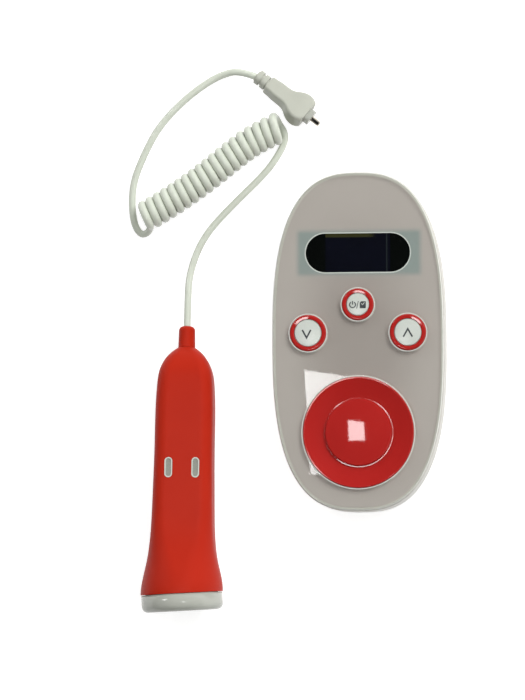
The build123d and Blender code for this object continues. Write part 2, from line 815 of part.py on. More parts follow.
# ---------------------------------------------------------------- case screws
head_level = screw_head_recess + screw_head_height
with BuildPart() as case_screws:
    with BuildSketch(Plane.XY.offset(screw_head_recess)):
        with Locations(*screw_places):
            Circle(screw_head_radius)
    extrude(amount=screw_head_height)
    with BuildSketch(Plane.XY.offset(head_level)):
        with Locations(*screw_places):
            Circle(screw_shank_radius)
    extrude(amount=parting_height + screw_reach - screw_clearance - head_level)
    with BuildSketch(Plane.XY.offset(screw_head_recess)):
        with Locations(*screw_places):
            Rectangle(screw_recess_span, screw_recess_width)
            Rectangle(screw_recess_width, screw_recess_span)
    extrude(amount=screw_head_height / 2, mode=Mode.SUBTRACT)
case_screws.part.label = "case_screws"
export_step(case_screws.part, "parts/case_screws.step")

# ---------------------------------------------------------------- batteries and their contacts
cell_height = door_pocket_depth + slide_gap + cell_radius
cell_spacing = 2 * cell_radius + 2 * slide_gap
for number, direction in ((1, 1), (2, -1)):
    cell_y = battery_y + direction * cell_spacing / 2
    cell_end_x = direction * (bay_length / 2 - contact_thickness - fit_gap)
    cell_plane = Plane(
        origin=(cell_end_x, cell_y, cell_height), x_dir=(0, 1, 0), z_dir=(-direction, 0, 0)
    )
    with BuildPart() as cell:
        with BuildSketch(cell_plane):
            Circle(cell_nub_radius)
        extrude(amount=cell_nub_length)
        with BuildSketch(cell_plane.offset(cell_nub_length)):
            Circle(cell_radius)
        extrude(amount=cell_length)
        fillet(cell.edges().filter_by(GeomType.CIRCLE).group_by(SortBy.RADIUS)[-1], 2 * slide_gap)
    cell.part.label = f"battery_cell_{number}"
    export_step(cell.part, f"parts/battery_cell_{number}.step")

contact_z = cell_height - contact_height / 2
with BuildPart() as battery_contacts:
    for side in (-1, 1):
        for row in (-1, 1):
            with BuildSketch(Plane.XY.offset(contact_z)):
                with Locations((side * (bay_length - contact_thickness) / 2,
                                battery_y + row * cell_spacing / 2)):
                    Rectangle(contact_thickness, contact_width)
            extrude(amount=contact_height)
battery_contacts.part.label = "battery_contacts"
export_step(battery_contacts.part, "parts/battery_contacts.step")

spring_room = bay_length - 2 * contact_thickness - cell_length - cell_nub_length - 2 * fit_gap
spring_length = spring_room - spring_wire - fit_gap
with BuildPart() as battery_springs:
    for direction in (1, -1):
        spring_start = Plane(
            origin=(
                -direction * (bay_length / 2 - contact_thickness - spring_wire / 2),
                battery_y + direction * cell_spacing / 2,
                cell_height,
            ),
            x_dir=(0, 1, 0),
            z_dir=(direction, 0, 0),
        )
        spring_path = spring_start.location * Helix(
            pitch=spring_length / spring_turns, height=spring_length, radius=spring_radius,
            mode=Mode.PRIVATE,
        )
        with BuildSketch(Plane(origin=spring_path @ 0, z_dir=spring_path % 0)):
            Circle(spring_wire / 2)
        sweep(path=spring_path, is_frenet=True)
battery_springs.part.label = "battery_springs"
export_step(battery_springs.part, "parts/battery_springs.step")

# ---------------------------------------------------------------- battery door
# A flat door flush with the back. Two tabs reach over the edge of the shell's floor, and the
# door tips open about them; a sprung latch finger holds the other edge.
tab_level = case_wall + slide_gap / 2
tab_root_y = battery_y + door_width / 2 - tab_thickness
latch_y = battery_y - bay_width / 2 + slide_gap
with BuildPart() as battery_door:
    with BuildSketch(Plane.XY):
        with Locations((0, battery_y)):
            RectangleRounded(door_length, door_width, door_corner)
    extrude(amount=door_thickness)
    with BuildSketch(Plane.XY.offset(door_thickness / 2)):
        for side in (-1, 1):
            with Locations((side * tab_spacing / 2, tab_root_y + tab_thickness / 2)):
                Rectangle(tab_length, tab_thickness)
    extrude(amount=tab_level + tab_thickness - door_thickness / 2)
    with BuildSketch(Plane.XY.offset(tab_level)):
        for side in (-1, 1):
            with Locations((side * tab_spacing / 2, tab_root_y)):
                Rectangle(tab_length, tab_thickness + tab_reach, align=(Align.CENTER, Align.MIN))
    extrude(amount=tab_thickness)
    with BuildSketch(Plane.XY.offset(door_thickness / 2)):
        with Locations((0, latch_y)):
            Rectangle(latch_length, latch_wall, align=(Align.CENTER, Align.MIN))
    extrude(amount=latch_height)
    with BuildSketch(Plane.XY):
        with Locations((0, battery_y - door_width / 4)):
            with GridLocations(0, grip_pitch, 1, grip_count):
                SlotOverall(grip_length, grip_width)
    extrude(amount=grip_depth, mode=Mode.SUBTRACT)
battery_door.part.label = "battery_door"
export_step(battery_door.part, "parts/battery_door.step")

# ================================================================ probe
# The probe rests on the heel of its handle and on the lip of its head, so its axis rises
# towards the head. Its own planes: X across the handle, Y up from its back, Z to the head.



def half_depth_at(station):
    """Half the handle's depth at a station, between the two sections beside it."""
    for (near, _, near_depth, _, _), (far, _, far_depth, _, _) in zip(handle_sections, handle_sections[1:]):
        if near <= station <= far:
            share = (station - near) / (far - near)
            return (near_depth + share * (far_depth - near_depth)) / 2
    return handle_sections[-1][2] / 2


heel_half_depth = half_depth_at(heel_station)
lip_station = handle_sections[-1][0]
probe_pitch = degrees(atan((lip_radius - heel_half_depth) / (lip_station - heel_station)))
heading = Vector(-sin(radians(probe_lean)), -cos(radians(probe_lean)), 0)
probe_axis = heading * cos(radians(probe_pitch)) + Vector(0, 0, sin(radians(probe_pitch)))
probe_across = Vector(cos(radians(probe_lean)), -sin(radians(probe_lean)), 0)
heel_height = heel_half_depth * cos(radians(probe_pitch)) + floor_gap
tail_height = heel_height - heel_station * sin(radians(probe_pitch))
probe_tail = Vector(probe_tail_x, probe_tail_y, tail_height)
tail_plane = Plane(origin=probe_tail, x_dir=probe_across, z_dir=probe_axis)
mid_plane = Plane(origin=probe_tail, x_dir=probe_across, z_dir=tail_plane.y_dir)


def section_plane(station, turn_share=0.0):
    """The probe's cross-section plane at a distance from its tail, turned and tipped with the head."""
    turn = radians(head_turn * turn_share)
    tip = radians(head_tip * turn_share)
    turned_axis = probe_axis * cos(turn) + probe_across * sin(turn)
    return Plane(
        origin=tail_plane.offset(station).origin,
        x_dir=probe_across * cos(turn) - probe_axis * sin(turn),
        z_dir=turned_axis * cos(tip) - tail_plane.y_dir * sin(tip),
    )


def upward_plane(station, height, side):
    """A plane along the handle at a height over its mid plane; it faces up, or down for side -1."""
    return Plane(
        origin=tail_plane.from_local_coords(Vector(0, height, station)),
        x_dir=probe_across,
        z_dir=tail_plane.y_dir * side,
    )


def probe_head_seat(station):
    """How far below the mid plane the head of a probe screw seats."""
    return half_depth_at(station) - probe_screw_recess - probe_wall / 2


with BuildPart() as handle_outside:
    for station, width, depth, corner, turn_share in handle_sections:
        with BuildSketch(section_plane(station, turn_share)):
            RectangleRounded(width, depth, corner)
    loft()

with BuildPart() as handle_inside:
    with BuildSketch(section_plane(cavity_start)):
        RectangleRounded(cavity_start_width, cavity_start_depth, cavity_start_corner)
    for station, width, depth, corner, turn_share in handle_sections:
        if station > cavity_start:
            inner_corner = max(corner - probe_wall, cavity_corner_floor)
            with BuildSketch(section_plane(station, turn_share)):
                RectangleRounded(width - 2 * probe_wall, depth - 2 * probe_wall, inner_corner)
    loft()

# ---------------------------------------------------------------- probe shells
# Two moulded halves that meet along the handle's sides. The upper one has the two indicator
# windows, the lower one the screw bosses.
indicator_surface = half_depth_at(indicator_station)
indicator_plane = Plane(
    origin=tail_plane.offset(indicator_station).from_local_coords(
        Vector(0, indicator_surface + indicator_proud, 0)
    ),
    x_dir=probe_across,
    z_dir=-tail_plane.y_dir,
)
for name, keep in (("probe_top_shell", Keep.TOP), ("probe_bottom_shell", Keep.BOTTOM)):
    boss_side = 1 if keep == Keep.TOP else -1
    with BuildPart() as shell:
        add(handle_outside.part)
        add(handle_inside.part, mode=Mode.SUBTRACT)
        for station in probe_screw_stations:
            with BuildSketch(upward_plane(station, boss_side * probe_board_thickness / 2, boss_side)):
                Circle(probe_boss_radius)
            extrude(amount=half_depth_at(station) - probe_wall / 2 - probe_board_thickness / 2)
        with BuildSketch(section_plane(relief_length)):
            Circle(relief_neck_radius + fit_gap)
        extrude(amount=cavity_start - relief_length + fit_gap, mode=Mode.SUBTRACT)
        split(bisect_by=mid_plane, keep=keep)
        if keep == Keep.TOP:
            with BuildSketch(indicator_plane):
                with Locations((-indicator_spread, 0), (indicator_spread, 0)):
                    SlotOverall(indicator_length + 2 * fit_gap, indicator_width + 2 * fit_gap, rotation=90)
            extrude(amount=indicator_depth + probe_wall, mode=Mode.SUBTRACT)
            for station in probe_screw_stations:
                with BuildSketch(upward_plane(station, 0, 1)):
                    Circle(probe_screw_shank_radius + screw_gap)
                extrude(amount=probe_screw_bite, mode=Mode.SUBTRACT)
        else:
            for station in probe_screw_stations:
                with BuildSketch(upward_plane(station, 0, -1)):
                    Circle(probe_screw_shank_radius + screw_clearance)
                extrude(amount=half_depth_at(station) + probe_wall, mode=Mode.SUBTRACT)
                with BuildSketch(upward_plane(station, -probe_head_seat(station), -1)):
                    Circle(probe_screw_head_radius + screw_clearance)
                extrude(amount=probe_screw_recess + 2 * probe_wall, mode=Mode.SUBTRACT)
    shell.part.label = name
    export_step(shell.part, f"parts/{name}.step")

# ---------------------------------------------------------------- indicators
# Two obround windows let into the upper shell, each a pale rim round a shallow recess.
for name, side in (("left", -1), ("right", 1)):
    with BuildPart() as indicator:
        with BuildSketch(indicator_plane):
            with Locations((side * indicator_spread, 0)):
                SlotOverall(indicator_length, indicator_width, rotation=90)
        extrude(amount=indicator_depth)
        with BuildSketch(indicator_plane):
            with Locations((side * indicator_spread, 0)):
                SlotOverall(
                    indicator_length - 2 * indicator_rim, indicator_width - 2 * indicator_rim, rotation=90
                )
        extrude(amount=indicator_recess, mode=Mode.SUBTRACT)
    indicator.part.label = f"indicator_{name}"
    export_step(indicator.part, f"parts/indicator_{name}.step")

# ---------------------------------------------------------------- probe screws
with BuildPart() as probe_screws:
    for station in probe_screw_stations:
        head_seat = probe_head_seat(station)
        with BuildSketch(upward_plane(station, -head_seat, -1)):
            Circle(probe_screw_head_radius)
        extrude(amount=probe_screw_head_height)
        with BuildSketch(upward_plane(station, -head_seat, 1)):
            Circle(probe_screw_shank_radius)
        extrude(amount=head_seat + probe_screw_bite - screw_clearance)
probe_screws.part.label = "probe_screws"
export_step(probe_screws.part, "parts/probe_screws.step")

# ---------------------------------------------------------------- probe cap and transducer
# The white cap closes the head. Its face is the probe's acoustic window: the two crystals are
# bonded behind it, one to send and one to receive, with a backing disc behind them.
head_plane = section_plane(lip_station, 1.0)
cap_start = head_plane.offset(cap_seam)
spigot_radius = lip_radius - probe_wall - slide_gap
with BuildPart() as probe_cap:
    with BuildSketch(cap_start):
        Circle(cap_radius)
    extrude(amount=cap_length)
    front_face = probe_cap.faces().sort_by(Axis(head_plane.origin, head_plane.z_dir))[-1]
    fillet(front_face.edges(), cap_corner_radius)
    with BuildSketch(cap_start):
        Circle(spigot_radius)
    extrude(amount=-cap_spigot_length)
    with BuildSketch(cap_start.offset(-cap_spigot_length)):
        Circle(spigot_radius - cap_wall_thickness)
    extrude(amount=cap_spigot_length + cap_length - cap_face_thickness, mode=Mode.SUBTRACT)
probe_cap.part.label = "probe_cap"
export_step(probe_cap.part, "parts/probe_cap.step")

crystal_plane = cap_start.offset(cap_length - cap_face_thickness)
with BuildPart() as piezo_crystals:
    with BuildSketch(crystal_plane):
        Circle(crystal_radius)
        Rectangle(crystal_split, 2 * crystal_radius, mode=Mode.SUBTRACT)
    extrude(amount=-crystal_thickness)
piezo_crystals.part.label = "piezo_crystals"
export_step(piezo_crystals.part, "parts/piezo_crystals.step")

with BuildPart() as crystal_backing:
    with BuildSketch(crystal_plane.offset(-crystal_thickness)):
        Circle(backing_radius)
    extrude(amount=-backing_thickness)
crystal_backing.part.label = "crystal_backing"
export_step(crystal_backing.part, "parts/crystal_backing.step")

# ---------------------------------------------------------------- probe board
# The board lies along the handle, clamped between the two halves' bosses; the screws pass it.
board_middle = (probe_screw_stations[0] + probe_screw_stations[-1]) / 2
board_span = probe_screw_stations[-1] - probe_screw_stations[0] + 2 * probe_board_overhang
with BuildPart() as probe_board:
    with BuildSketch(upward_plane(board_middle, -probe_board_thickness / 2, 1)):
        Rectangle(probe_board_width, board_span)
        with Locations(*[(0, board_middle - station) for station in probe_screw_stations]):
            Circle(probe_screw_shank_radius + screw_clearance, mode=Mode.SUBTRACT)
    extrude(amount=probe_board_thickness)
probe_board.part.label = "probe_board"
export_step(probe_board.part, "parts/probe_board.step")

# ---------------------------------------------------------------- strain relief of the probe
# A soft tapered boot on the tail: its neck passes the end wall and its flange holds inside.
relief_flange_start = cavity_start + fit_gap
with BuildPart() as strain_relief:
    with BuildSketch(section_plane(0)):
        Circle(relief_tip_radius)
    with BuildSketch(section_plane(relief_length)):
        Circle(relief_radius)
    loft()
    fillet(
        strain_relief.faces().sort_by(Axis(probe_tail, probe_axis))[0].edges(), relief_tip_round
    )
    with BuildSketch(section_plane(relief_length)):
        Circle(relief_neck_radius)
    extrude(amount=relief_flange_start - relief_length)
    with BuildSketch(section_plane(relief_flange_start)):
        Circle(relief_radius)
    extrude(amount=relief_flange_thickness)
strain_relief.part.label = "strain_relief"
export_step(strain_relief.part, "parts/strain_relief.step")

# ================================================================ plug
# The plug lies on the surface, rolled a little about its axis. Its own planes: X across, Y up,
# Z towards the pin.
plug_axis = Vector(cos(radians(plug_heading)), sin(radians(plug_heading)), 0)
plug_level = Vector(-sin(radians(plug_heading)), cos(radians(plug_heading)), 0)
plug_across = plug_level * cos(radians(plug_roll)) - Vector(0, 0, sin(radians(plug_roll)))
plug_plane = Plane(
    origin=(plug_tail[0], plug_tail[1], plug_axis_height), x_dir=plug_across, z_dir=plug_axis
)
rib_pitch = plug_relief_length / plug_rib_count

with BuildPart() as plug_relief:
    with BuildSketch(plug_plane):
        Circle(plug_relief_core / 2)
    extrude(amount=plug_relief_length)
    for rib in range(plug_rib_count):
        with BuildSketch(plug_plane.offset(rib * rib_pitch + (rib_pitch - plug_rib_thickness) / 2)):
            RectangleRounded(plug_rib_size, plug_rib_size, plug_rib_corner)
        extrude(amount=plug_rib_thickness)
plug_relief.part.label = "plug_relief"
export_step(plug_relief.part, "parts/plug_relief.step")

plug_body_start = plug_plane.offset(plug_relief_length)
plug_body_length = plug_sections[-1][0]
with BuildPart() as plug_body:
    for station, width, depth, corner in plug_sections:
        with BuildSketch(plug_body_start.offset(station)):
            RectangleRounded(width, depth, corner)
    loft()
    with BuildSketch(plug_body_start.offset(plug_body_length)):
        Circle(plug_shank_radius)
    extrude(amount=-plug_pin_seat, mode=Mode.SUBTRACT)
plug_body.part.label = "plug_body"
export_step(plug_body.part, "parts/plug_body.step")

plug_face = plug_body_start.offset(plug_body_length)
with BuildPart() as plug_collar:
    with BuildSketch(plug_face):
        RectangleRounded(plug_collar_width, plug_collar_depth, plug_collar_corner)
        Circle(plug_shank_radius, mode=Mode.SUBTRACT)
    extrude(amount=plug_collar_length)
plug_collar.part.label = "plug_collar"
export_step(plug_collar.part, "parts/plug_collar.step")

with BuildPart() as plug_pin:
    with BuildSketch(plug_face.offset(-plug_pin_seat)):
        Circle(plug_shank_radius)
    extrude(amount=plug_pin_seat + plug_collar_length)
    with BuildSketch(plug_face.offset(plug_collar_length)):
        Circle(probe_pin_radius)
    extrude(amount=plug_pin_length)
    fillet(
        plug_pin.faces().sort_by(Axis(plug_face.origin, plug_face.z_dir))[-1].edges(),
        plug_pin_round,
    )
plug_pin.part.label = "plug_pin"
export_step(plug_pin.part, "parts/plug_pin.step")

# ================================================================ cord
# Plain tubes along hand-chosen points, each corner rounded as far as its two runs allow.
def corner_radii(points):
    """The arc at each corner: a share of the shorter run over the tangent of half the turn."""
    radii = []
    for before, corner, after in zip(points, points[1:], points[2:]):
        first_run = Vector(*corner) - Vector(*before)
        second_run = Vector(*after) - Vector(*corner)
        half_turn = radians(first_run.get_angle(second_run)) / 2
        radii.append(arc_share * min(first_run.length, second_run.length) / tan(half_turn))
    return radii


plug_exit = plug_plane.origin
relief_tip = tail_plane.origin
relief_lead = relief_tip - probe_axis * relief_lead_length
cord_runs = {
    "cord_plug_run": ([tuple(plug_exit)] + plug_run_points, cord_diameter),
    "cord_coil": (coil_points, coil_diameter),
    "cord_probe_run": (probe_run_points + [tuple(relief_lead), tuple(relief_tip)], cord_diameter),
}
for name, (points, diameter) in cord_runs.items():
    radii = corner_radii(points)
    with BuildPart() as run:
        with BuildLine() as route:
            FilletPolyline(*points, radius=radii)
        with BuildSketch(Plane(origin=route.line @ 0, z_dir=route.line % 0)):
            Circle(diameter / 2)
        sweep(path=route.line)
    run.part.label = name
    export_step(run.part, f"parts/{name}.step")
    length = sum(edge.length for edge in route.edges())
    expected = pi * diameter ** 2 / 4 * length
    print(name, "radii", [round(radius, 1) for radius in radii])
    print(name, "length", round(length, 1), "volume", round(run.part.volume / expected, 4))
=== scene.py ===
"""Looks of the fetal doppler monitor: its camera, light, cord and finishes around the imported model.

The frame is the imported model's own, in metres: the console lies on its back with its face towards
+Z and its display end towards +Y, and the probe lies to its left (-X).
"""
import json
import math

import bmesh
import bpy
from mathutils import Matrix, Vector
from mathutils.geometry import tessellate_polygon

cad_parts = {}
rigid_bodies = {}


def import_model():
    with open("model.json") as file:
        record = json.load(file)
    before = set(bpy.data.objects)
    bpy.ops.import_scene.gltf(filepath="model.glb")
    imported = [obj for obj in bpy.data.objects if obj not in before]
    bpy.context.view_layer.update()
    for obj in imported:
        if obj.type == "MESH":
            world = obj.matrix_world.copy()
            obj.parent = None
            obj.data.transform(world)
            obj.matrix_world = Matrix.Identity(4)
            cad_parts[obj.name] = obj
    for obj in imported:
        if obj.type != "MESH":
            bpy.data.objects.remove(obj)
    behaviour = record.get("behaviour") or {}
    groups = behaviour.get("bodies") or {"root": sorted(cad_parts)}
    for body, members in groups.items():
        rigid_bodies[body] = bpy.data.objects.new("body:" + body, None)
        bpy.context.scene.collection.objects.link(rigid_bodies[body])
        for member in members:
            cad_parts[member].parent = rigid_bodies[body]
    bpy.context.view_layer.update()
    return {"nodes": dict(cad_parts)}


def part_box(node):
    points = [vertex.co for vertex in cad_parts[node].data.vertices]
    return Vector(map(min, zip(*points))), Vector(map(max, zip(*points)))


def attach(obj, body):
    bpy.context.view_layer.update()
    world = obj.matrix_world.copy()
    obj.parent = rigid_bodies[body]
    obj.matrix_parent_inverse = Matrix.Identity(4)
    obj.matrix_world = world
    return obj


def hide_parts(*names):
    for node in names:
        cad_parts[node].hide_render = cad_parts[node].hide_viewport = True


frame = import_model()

nodes = frame["nodes"]

# ---------------------------------------------------------------- camera
# A long lens almost straight above the table, a little to the console's right and to its
# speaker end, so that the console's right and lower walls just show.
camera_place = Vector((0.183, -0.166, 2.600))
camera_target = Vector((-0.04335, -0.00283, 0.015))
camera_roll = math.radians(0.21)
lens_length = 301.3
view_reach = 20.0

scene_objects = bpy.context.scene.collection.objects
camera_data = bpy.data.cameras.new("camera")
camera_data.lens = lens_length
camera_data.clip_end = view_reach
camera = bpy.data.objects.new("camera", camera_data)
scene_objects.link(camera)
forward = (camera_target - camera_place).normalized()
across = forward.cross(Vector((math.sin(camera_roll), math.cos(camera_roll), 0.0))).normalized()
camera.matrix_world = Matrix.Translation(camera_place) @ Matrix(
    (across, across.cross(forward), -forward)
).transposed().to_4x4()
bpy.context.scene.camera = camera


# ---------------------------------------------------------------- table
# A pale table in matt paint. It keeps the object's soft shadow, and a little light of its own,
# which only the eye and reflections see, lifts the rest of it to white. From below it can't be
# seen, and it lies a hair under the object so that no two faces share a place.
def linear(hex_colour):
    """An sRGB hex colour as linear red, green, blue and alpha."""
    channels = []
    for start in (1, 3, 5):
        value = int(hex_colour[start:start + 2], 16) / 255
        channels.append(value / 12.92 if value <= 0.04045 else ((value + 0.055) / 1.055) ** 2.4)
    return (*channels, 1.0)


def add_node(tree, kind, links=(), values=(), **settings):
    """Adds a node. Settings name properties or sockets; values and links are pairs by socket."""
    node = tree.nodes.new(kind)
    for name, value in settings.items():
        if hasattr(node, name):
            setattr(node, name, value)
        else:
            node.inputs[name.replace("_", " ")].default_value = value
    for socket, value in values:
        node.inputs[socket].default_value = value
    for socket, output in links:
        tree.links.new(output, node.inputs[socket])
    return node


def new_material(name):
    """An empty node material and its tree."""
    material = bpy.data.materials.new(name)
    material.use_nodes = True
    material.node_tree.nodes.clear()
    return material, material.node_tree


table_reach = 3.0
table_level = -0.00005
table_paint_colour = "#CFCFCD"
table_own_light = 0.75

table_paint, tree = new_material("matt_table_paint")
paint = add_node(tree, "ShaderNodeBsdfDiffuse", Color=linear(table_paint_colour))
path = add_node(tree, "ShaderNodeLightPath")
seen = add_node(
    tree, "ShaderNodeMath",
    [(0, path.outputs["Is Camera Ray"]), (1, path.outputs["Is Glossy Ray"])],
    operation="MAXIMUM",
)
seen_or_through = add_node(
    tree, "ShaderNodeMath",
    [(0, seen.outputs[0]), (1, path.outputs["Is Transmission Ray"])],
    operation="MAXIMUM",
)
strength = add_node(
    tree, "ShaderNodeMath", [(0, seen_or_through.outputs[0])], [(1, table_own_light)],
    operation="MULTIPLY",
)
own_light = add_node(
    tree, "ShaderNodeEmission", [("Strength", strength.outputs[0])], Color=linear("#FFFFFF")
)
painted = add_node(tree, "ShaderNodeAddShader", [(0, paint.outputs[0]), (1, own_light.outputs[0])])
side = add_node(tree, "ShaderNodeNewGeometry")
unseen = add_node(tree, "ShaderNodeBsdfTransparent", Color=linear("#FFFFFF"))
one_sided = add_node(
    tree, "ShaderNodeMixShader",
    [(0, side.outputs["Backfacing"]), (1, painted.outputs[0]), (2, unseen.outputs[0])],
)
add_node(tree, "ShaderNodeOutputMaterial", [("Surface", one_sided.outputs[0])])

table_mesh = bpy.data.meshes.new("table")
table_mesh.from_pydata(
    [(x * table_reach, y * table_reach, table_level)
     for x, y in ((-1, -1), (1, -1), (1, 1), (-1, 1))],
    [], [(0, 1, 2, 3)],
)
table_mesh.materials.append(table_paint)
table = bpy.data.objects.new("table", table_mesh)
scene_objects.link(table)

# ---------------------------------------------------------------- light
# A broad key lamp at the upper right, a wide soft lamp overhead and a small fill lamp low at the
# upper left. The room is bright towards that right horizon and dim elsewhere. One square ceiling
# lamp, which only reflections see, stands close above the console.
horizon_level = 1.3
horizon_band_top = 0.20
overhead_level = 0.06
overhead_band_foot = 0.65
bright_direction = (0.80, 0.60, 0.0)
bright_side_start = 0.7
dim_side_end = -0.2
dim_side_share = 0.18
level_seen_directly = 1.0

world = bpy.data.worlds.new("studio")
world.use_nodes = True
tree = world.node_tree
tree.nodes.clear()
direction = add_node(tree, "ShaderNodeTexCoord")
split = add_node(tree, "ShaderNodeSeparateXYZ", [(0, direction.outputs["Generated"])])
level = add_node(
    tree, "ShaderNodeMapRange", [("Value", split.outputs["Z"])],
    From_Min=horizon_band_top, From_Max=overhead_band_foot,
    To_Min=horizon_level, To_Max=overhead_level,
)
towards_bright = add_node(
    tree, "ShaderNodeVectorMath", [(0, direction.outputs["Generated"])], [(1, bright_direction)],
    operation="DOT_PRODUCT",
)
side_share = add_node(
    tree, "ShaderNodeMapRange", [("Value", towards_bright.outputs["Value"])],
    interpolation_type="SMOOTHSTEP", From_Min=dim_side_end, From_Max=bright_side_start,
    To_Min=dim_side_share, To_Max=1.0,
)
light_level = add_node(
    tree, "ShaderNodeMath", [(0, level.outputs[0]), (1, side_share.outputs[0])],
    operation="MULTIPLY",
)
path = add_node(tree, "ShaderNodeLightPath")
shown_level = add_node(
    tree, "ShaderNodeMix", [("Factor", path.outputs["Is Camera Ray"]), (2, light_level.outputs[0])],
    [(3, level_seen_directly)],
)
room = add_node(
    tree, "ShaderNodeBackground", [("Strength", shown_level.outputs[0])], Color=linear("#FFFFFF")
)
add_node(tree, "ShaderNodeOutputWorld", [("Surface", room.outputs[0])])
bpy.context.scene.world = world

object_middle = Vector((-0.03, 0.0, 0.0))


def add_lamp(name, place, size, power, in_gloss):
    """A square lamp that points at the object's middle; in_gloss says if reflections show it."""
    light = bpy.data.lights.new(name, "AREA")
    light.shape = "SQUARE"
    light.size = size
    light.energy = power
    lamp = bpy.data.objects.new(name, light)
    scene_objects.link(lamp)
    aim = (object_middle - Vector(place)).to_track_quat("-Z", "Y")
    lamp.matrix_world = Matrix.Translation(place) @ aim.to_matrix().to_4x4()
    lamp.visible_camera = False
    lamp.visible_glossy = in_gloss


add_lamp("key_lamp", place=(0.95, 1.00, 1.40), size=1.0, power=25.5, in_gloss=False)
add_lamp("top_lamp", place=(-0.03, 0.0, 1.9), size=1.6, power=18.0, in_gloss=False)
add_lamp("fill_lamp", place=(-1.5, 1.2, 1.05), size=0.45, power=5.0, in_gloss=True)

ceiling_lamp_level = 0.33775
ceiling_lamp_corners = [
    (-0.04858, 0.00574), (-0.04582, -0.04588), (-0.00551, -0.04617), (-0.00799, -0.00045),
]
ceiling_lamp_strength = 13.2
lamp_glow, tree = new_material("ceiling_lamp_glow")
glow = add_node(
    tree, "ShaderNodeEmission", Color=linear("#FFFFFF"), Strength=ceiling_lamp_strength
)
add_node(tree, "ShaderNodeOutputMaterial", [("Surface", glow.outputs[0])])
lamp_mesh = bpy.data.meshes.new("ceiling_lamp")
lamp_mesh.from_pydata(
    [(x, y, ceiling_lamp_level) for x, y in ceiling_lamp_corners], [], [(0, 3, 2, 1)]
)
lamp_mesh.materials.append(lamp_glow)
ceiling_lamp = bpy.data.objects.new("ceiling_lamp", lamp_mesh)
scene_objects.link(ceiling_lamp)
ceiling_lamp.visible_camera = False
ceiling_lamp.visible_diffuse = False
ceiling_lamp.visible_transmission = False
ceiling_lamp.visible_shadow = False
bpy.context.scene.view_settings.view_transform = "Standard"


# ---------------------------------------------------------------- shells and battery door
# The console's rear and front shells and its battery door are moulded in white ABS. The tool is
# spark-eroded, which gives the eye a soft sheen with a faint grain.
def finish_nodes(material, *names):
    """Gives CAD nodes one material."""
    for name in names:
        nodes[name].data.materials.clear()
        nodes[name].data.materials.append(material)


# Blender's noise lies mostly between the two levels. The index is that of ABS and soft PVC, and
# near enough for inks, paper, foam and ceramics.
noise_low = 0.3
noise_high = 0.7
usual_ior = 1.54


def even_finish(
    name, hollow, raised, roughness, grain_mm, relief_mm, patch_mm=9.0, ior=usual_ior, metallic=0.0
):
    """A finish of two close colours in soft patches, with a fine grain in its gloss and relief.

    The two roughnesses are those of the grain's hollows and tops. Most real grains are too fine
    to show, so each is drawn as coarse as it needs to be.
    """
    material, tree = new_material(name)
    place = add_node(tree, "ShaderNodeTexCoord")
    patches = add_node(
        tree, "ShaderNodeTexNoise", [("Vector", place.outputs["Object"])],
        Scale=1000 / patch_mm, Detail=3.0,
    )
    grain = add_node(
        tree, "ShaderNodeTexNoise", [("Vector", place.outputs["Object"])],
        Scale=1000 / grain_mm, Detail=2.0,
    )
    colour = add_node(
        tree, "ShaderNodeMix", [("Factor", patches.outputs["Fac"])],
        [(6, linear(hollow)), (7, linear(raised))], data_type="RGBA",
    )
    dulling = add_node(
        tree, "ShaderNodeMapRange", [("Value", grain.outputs["Fac"])],
        From_Min=noise_low, From_Max=noise_high, To_Min=roughness[0], To_Max=roughness[1],
    )
    relief = add_node(
        tree, "ShaderNodeBump", [("Height", grain.outputs["Fac"])],
        Strength=1.0, Distance=relief_mm / 1000,
    )
    surface = add_node(
        tree, "ShaderNodeBsdfPrincipled",
        [("Base Color", colour.outputs[2]), ("Roughness", dulling.outputs[0]),
         ("Normal", relief.outputs[0])],
        IOR=ior, Metallic=metallic,
    )
    add_node(tree, "ShaderNodeOutputMaterial", [("Surface", surface.outputs[0])])
    return material


white_abs = even_finish(
    "white_abs_moulding", "#C3C0B7", "#CDCAC2",
    roughness=(0.28, 0.40), grain_mm=0.35, relief_mm=0.006,
)
finish_nodes(white_abs, "rear_shell", "front_shell", "battery_door")

# ---------------------------------------------------------------- screws and battery metal
# Small steel screws plated with zinc, and nickel-plated spring steel for the battery's contacts
# and springs. Zinc is greyer and duller than nickel. Both keep Blender's default index.
metal_ior = 1.5
zinc_plate = even_finish(
    "zinc_plated_steel", "#9FA2A3", "#B4B6B4", roughness=(0.30, 0.45), grain_mm=0.30,
    relief_mm=0.003, patch_mm=3.0, ior=metal_ior, metallic=1.0,
)
finish_nodes(zinc_plate, "case_screws", "probe_screws", "loudspeaker_basket")
nickel_plate = even_finish(
    "nickel_plated_steel", "#BDB6AA", "#CFC9BE", roughness=(0.16, 0.26), grain_mm=0.25,
    relief_mm=0.002, patch_mm=3.0, ior=metal_ior, metallic=1.0,
)
finish_nodes(nickel_plate, "battery_contacts", "battery_springs")

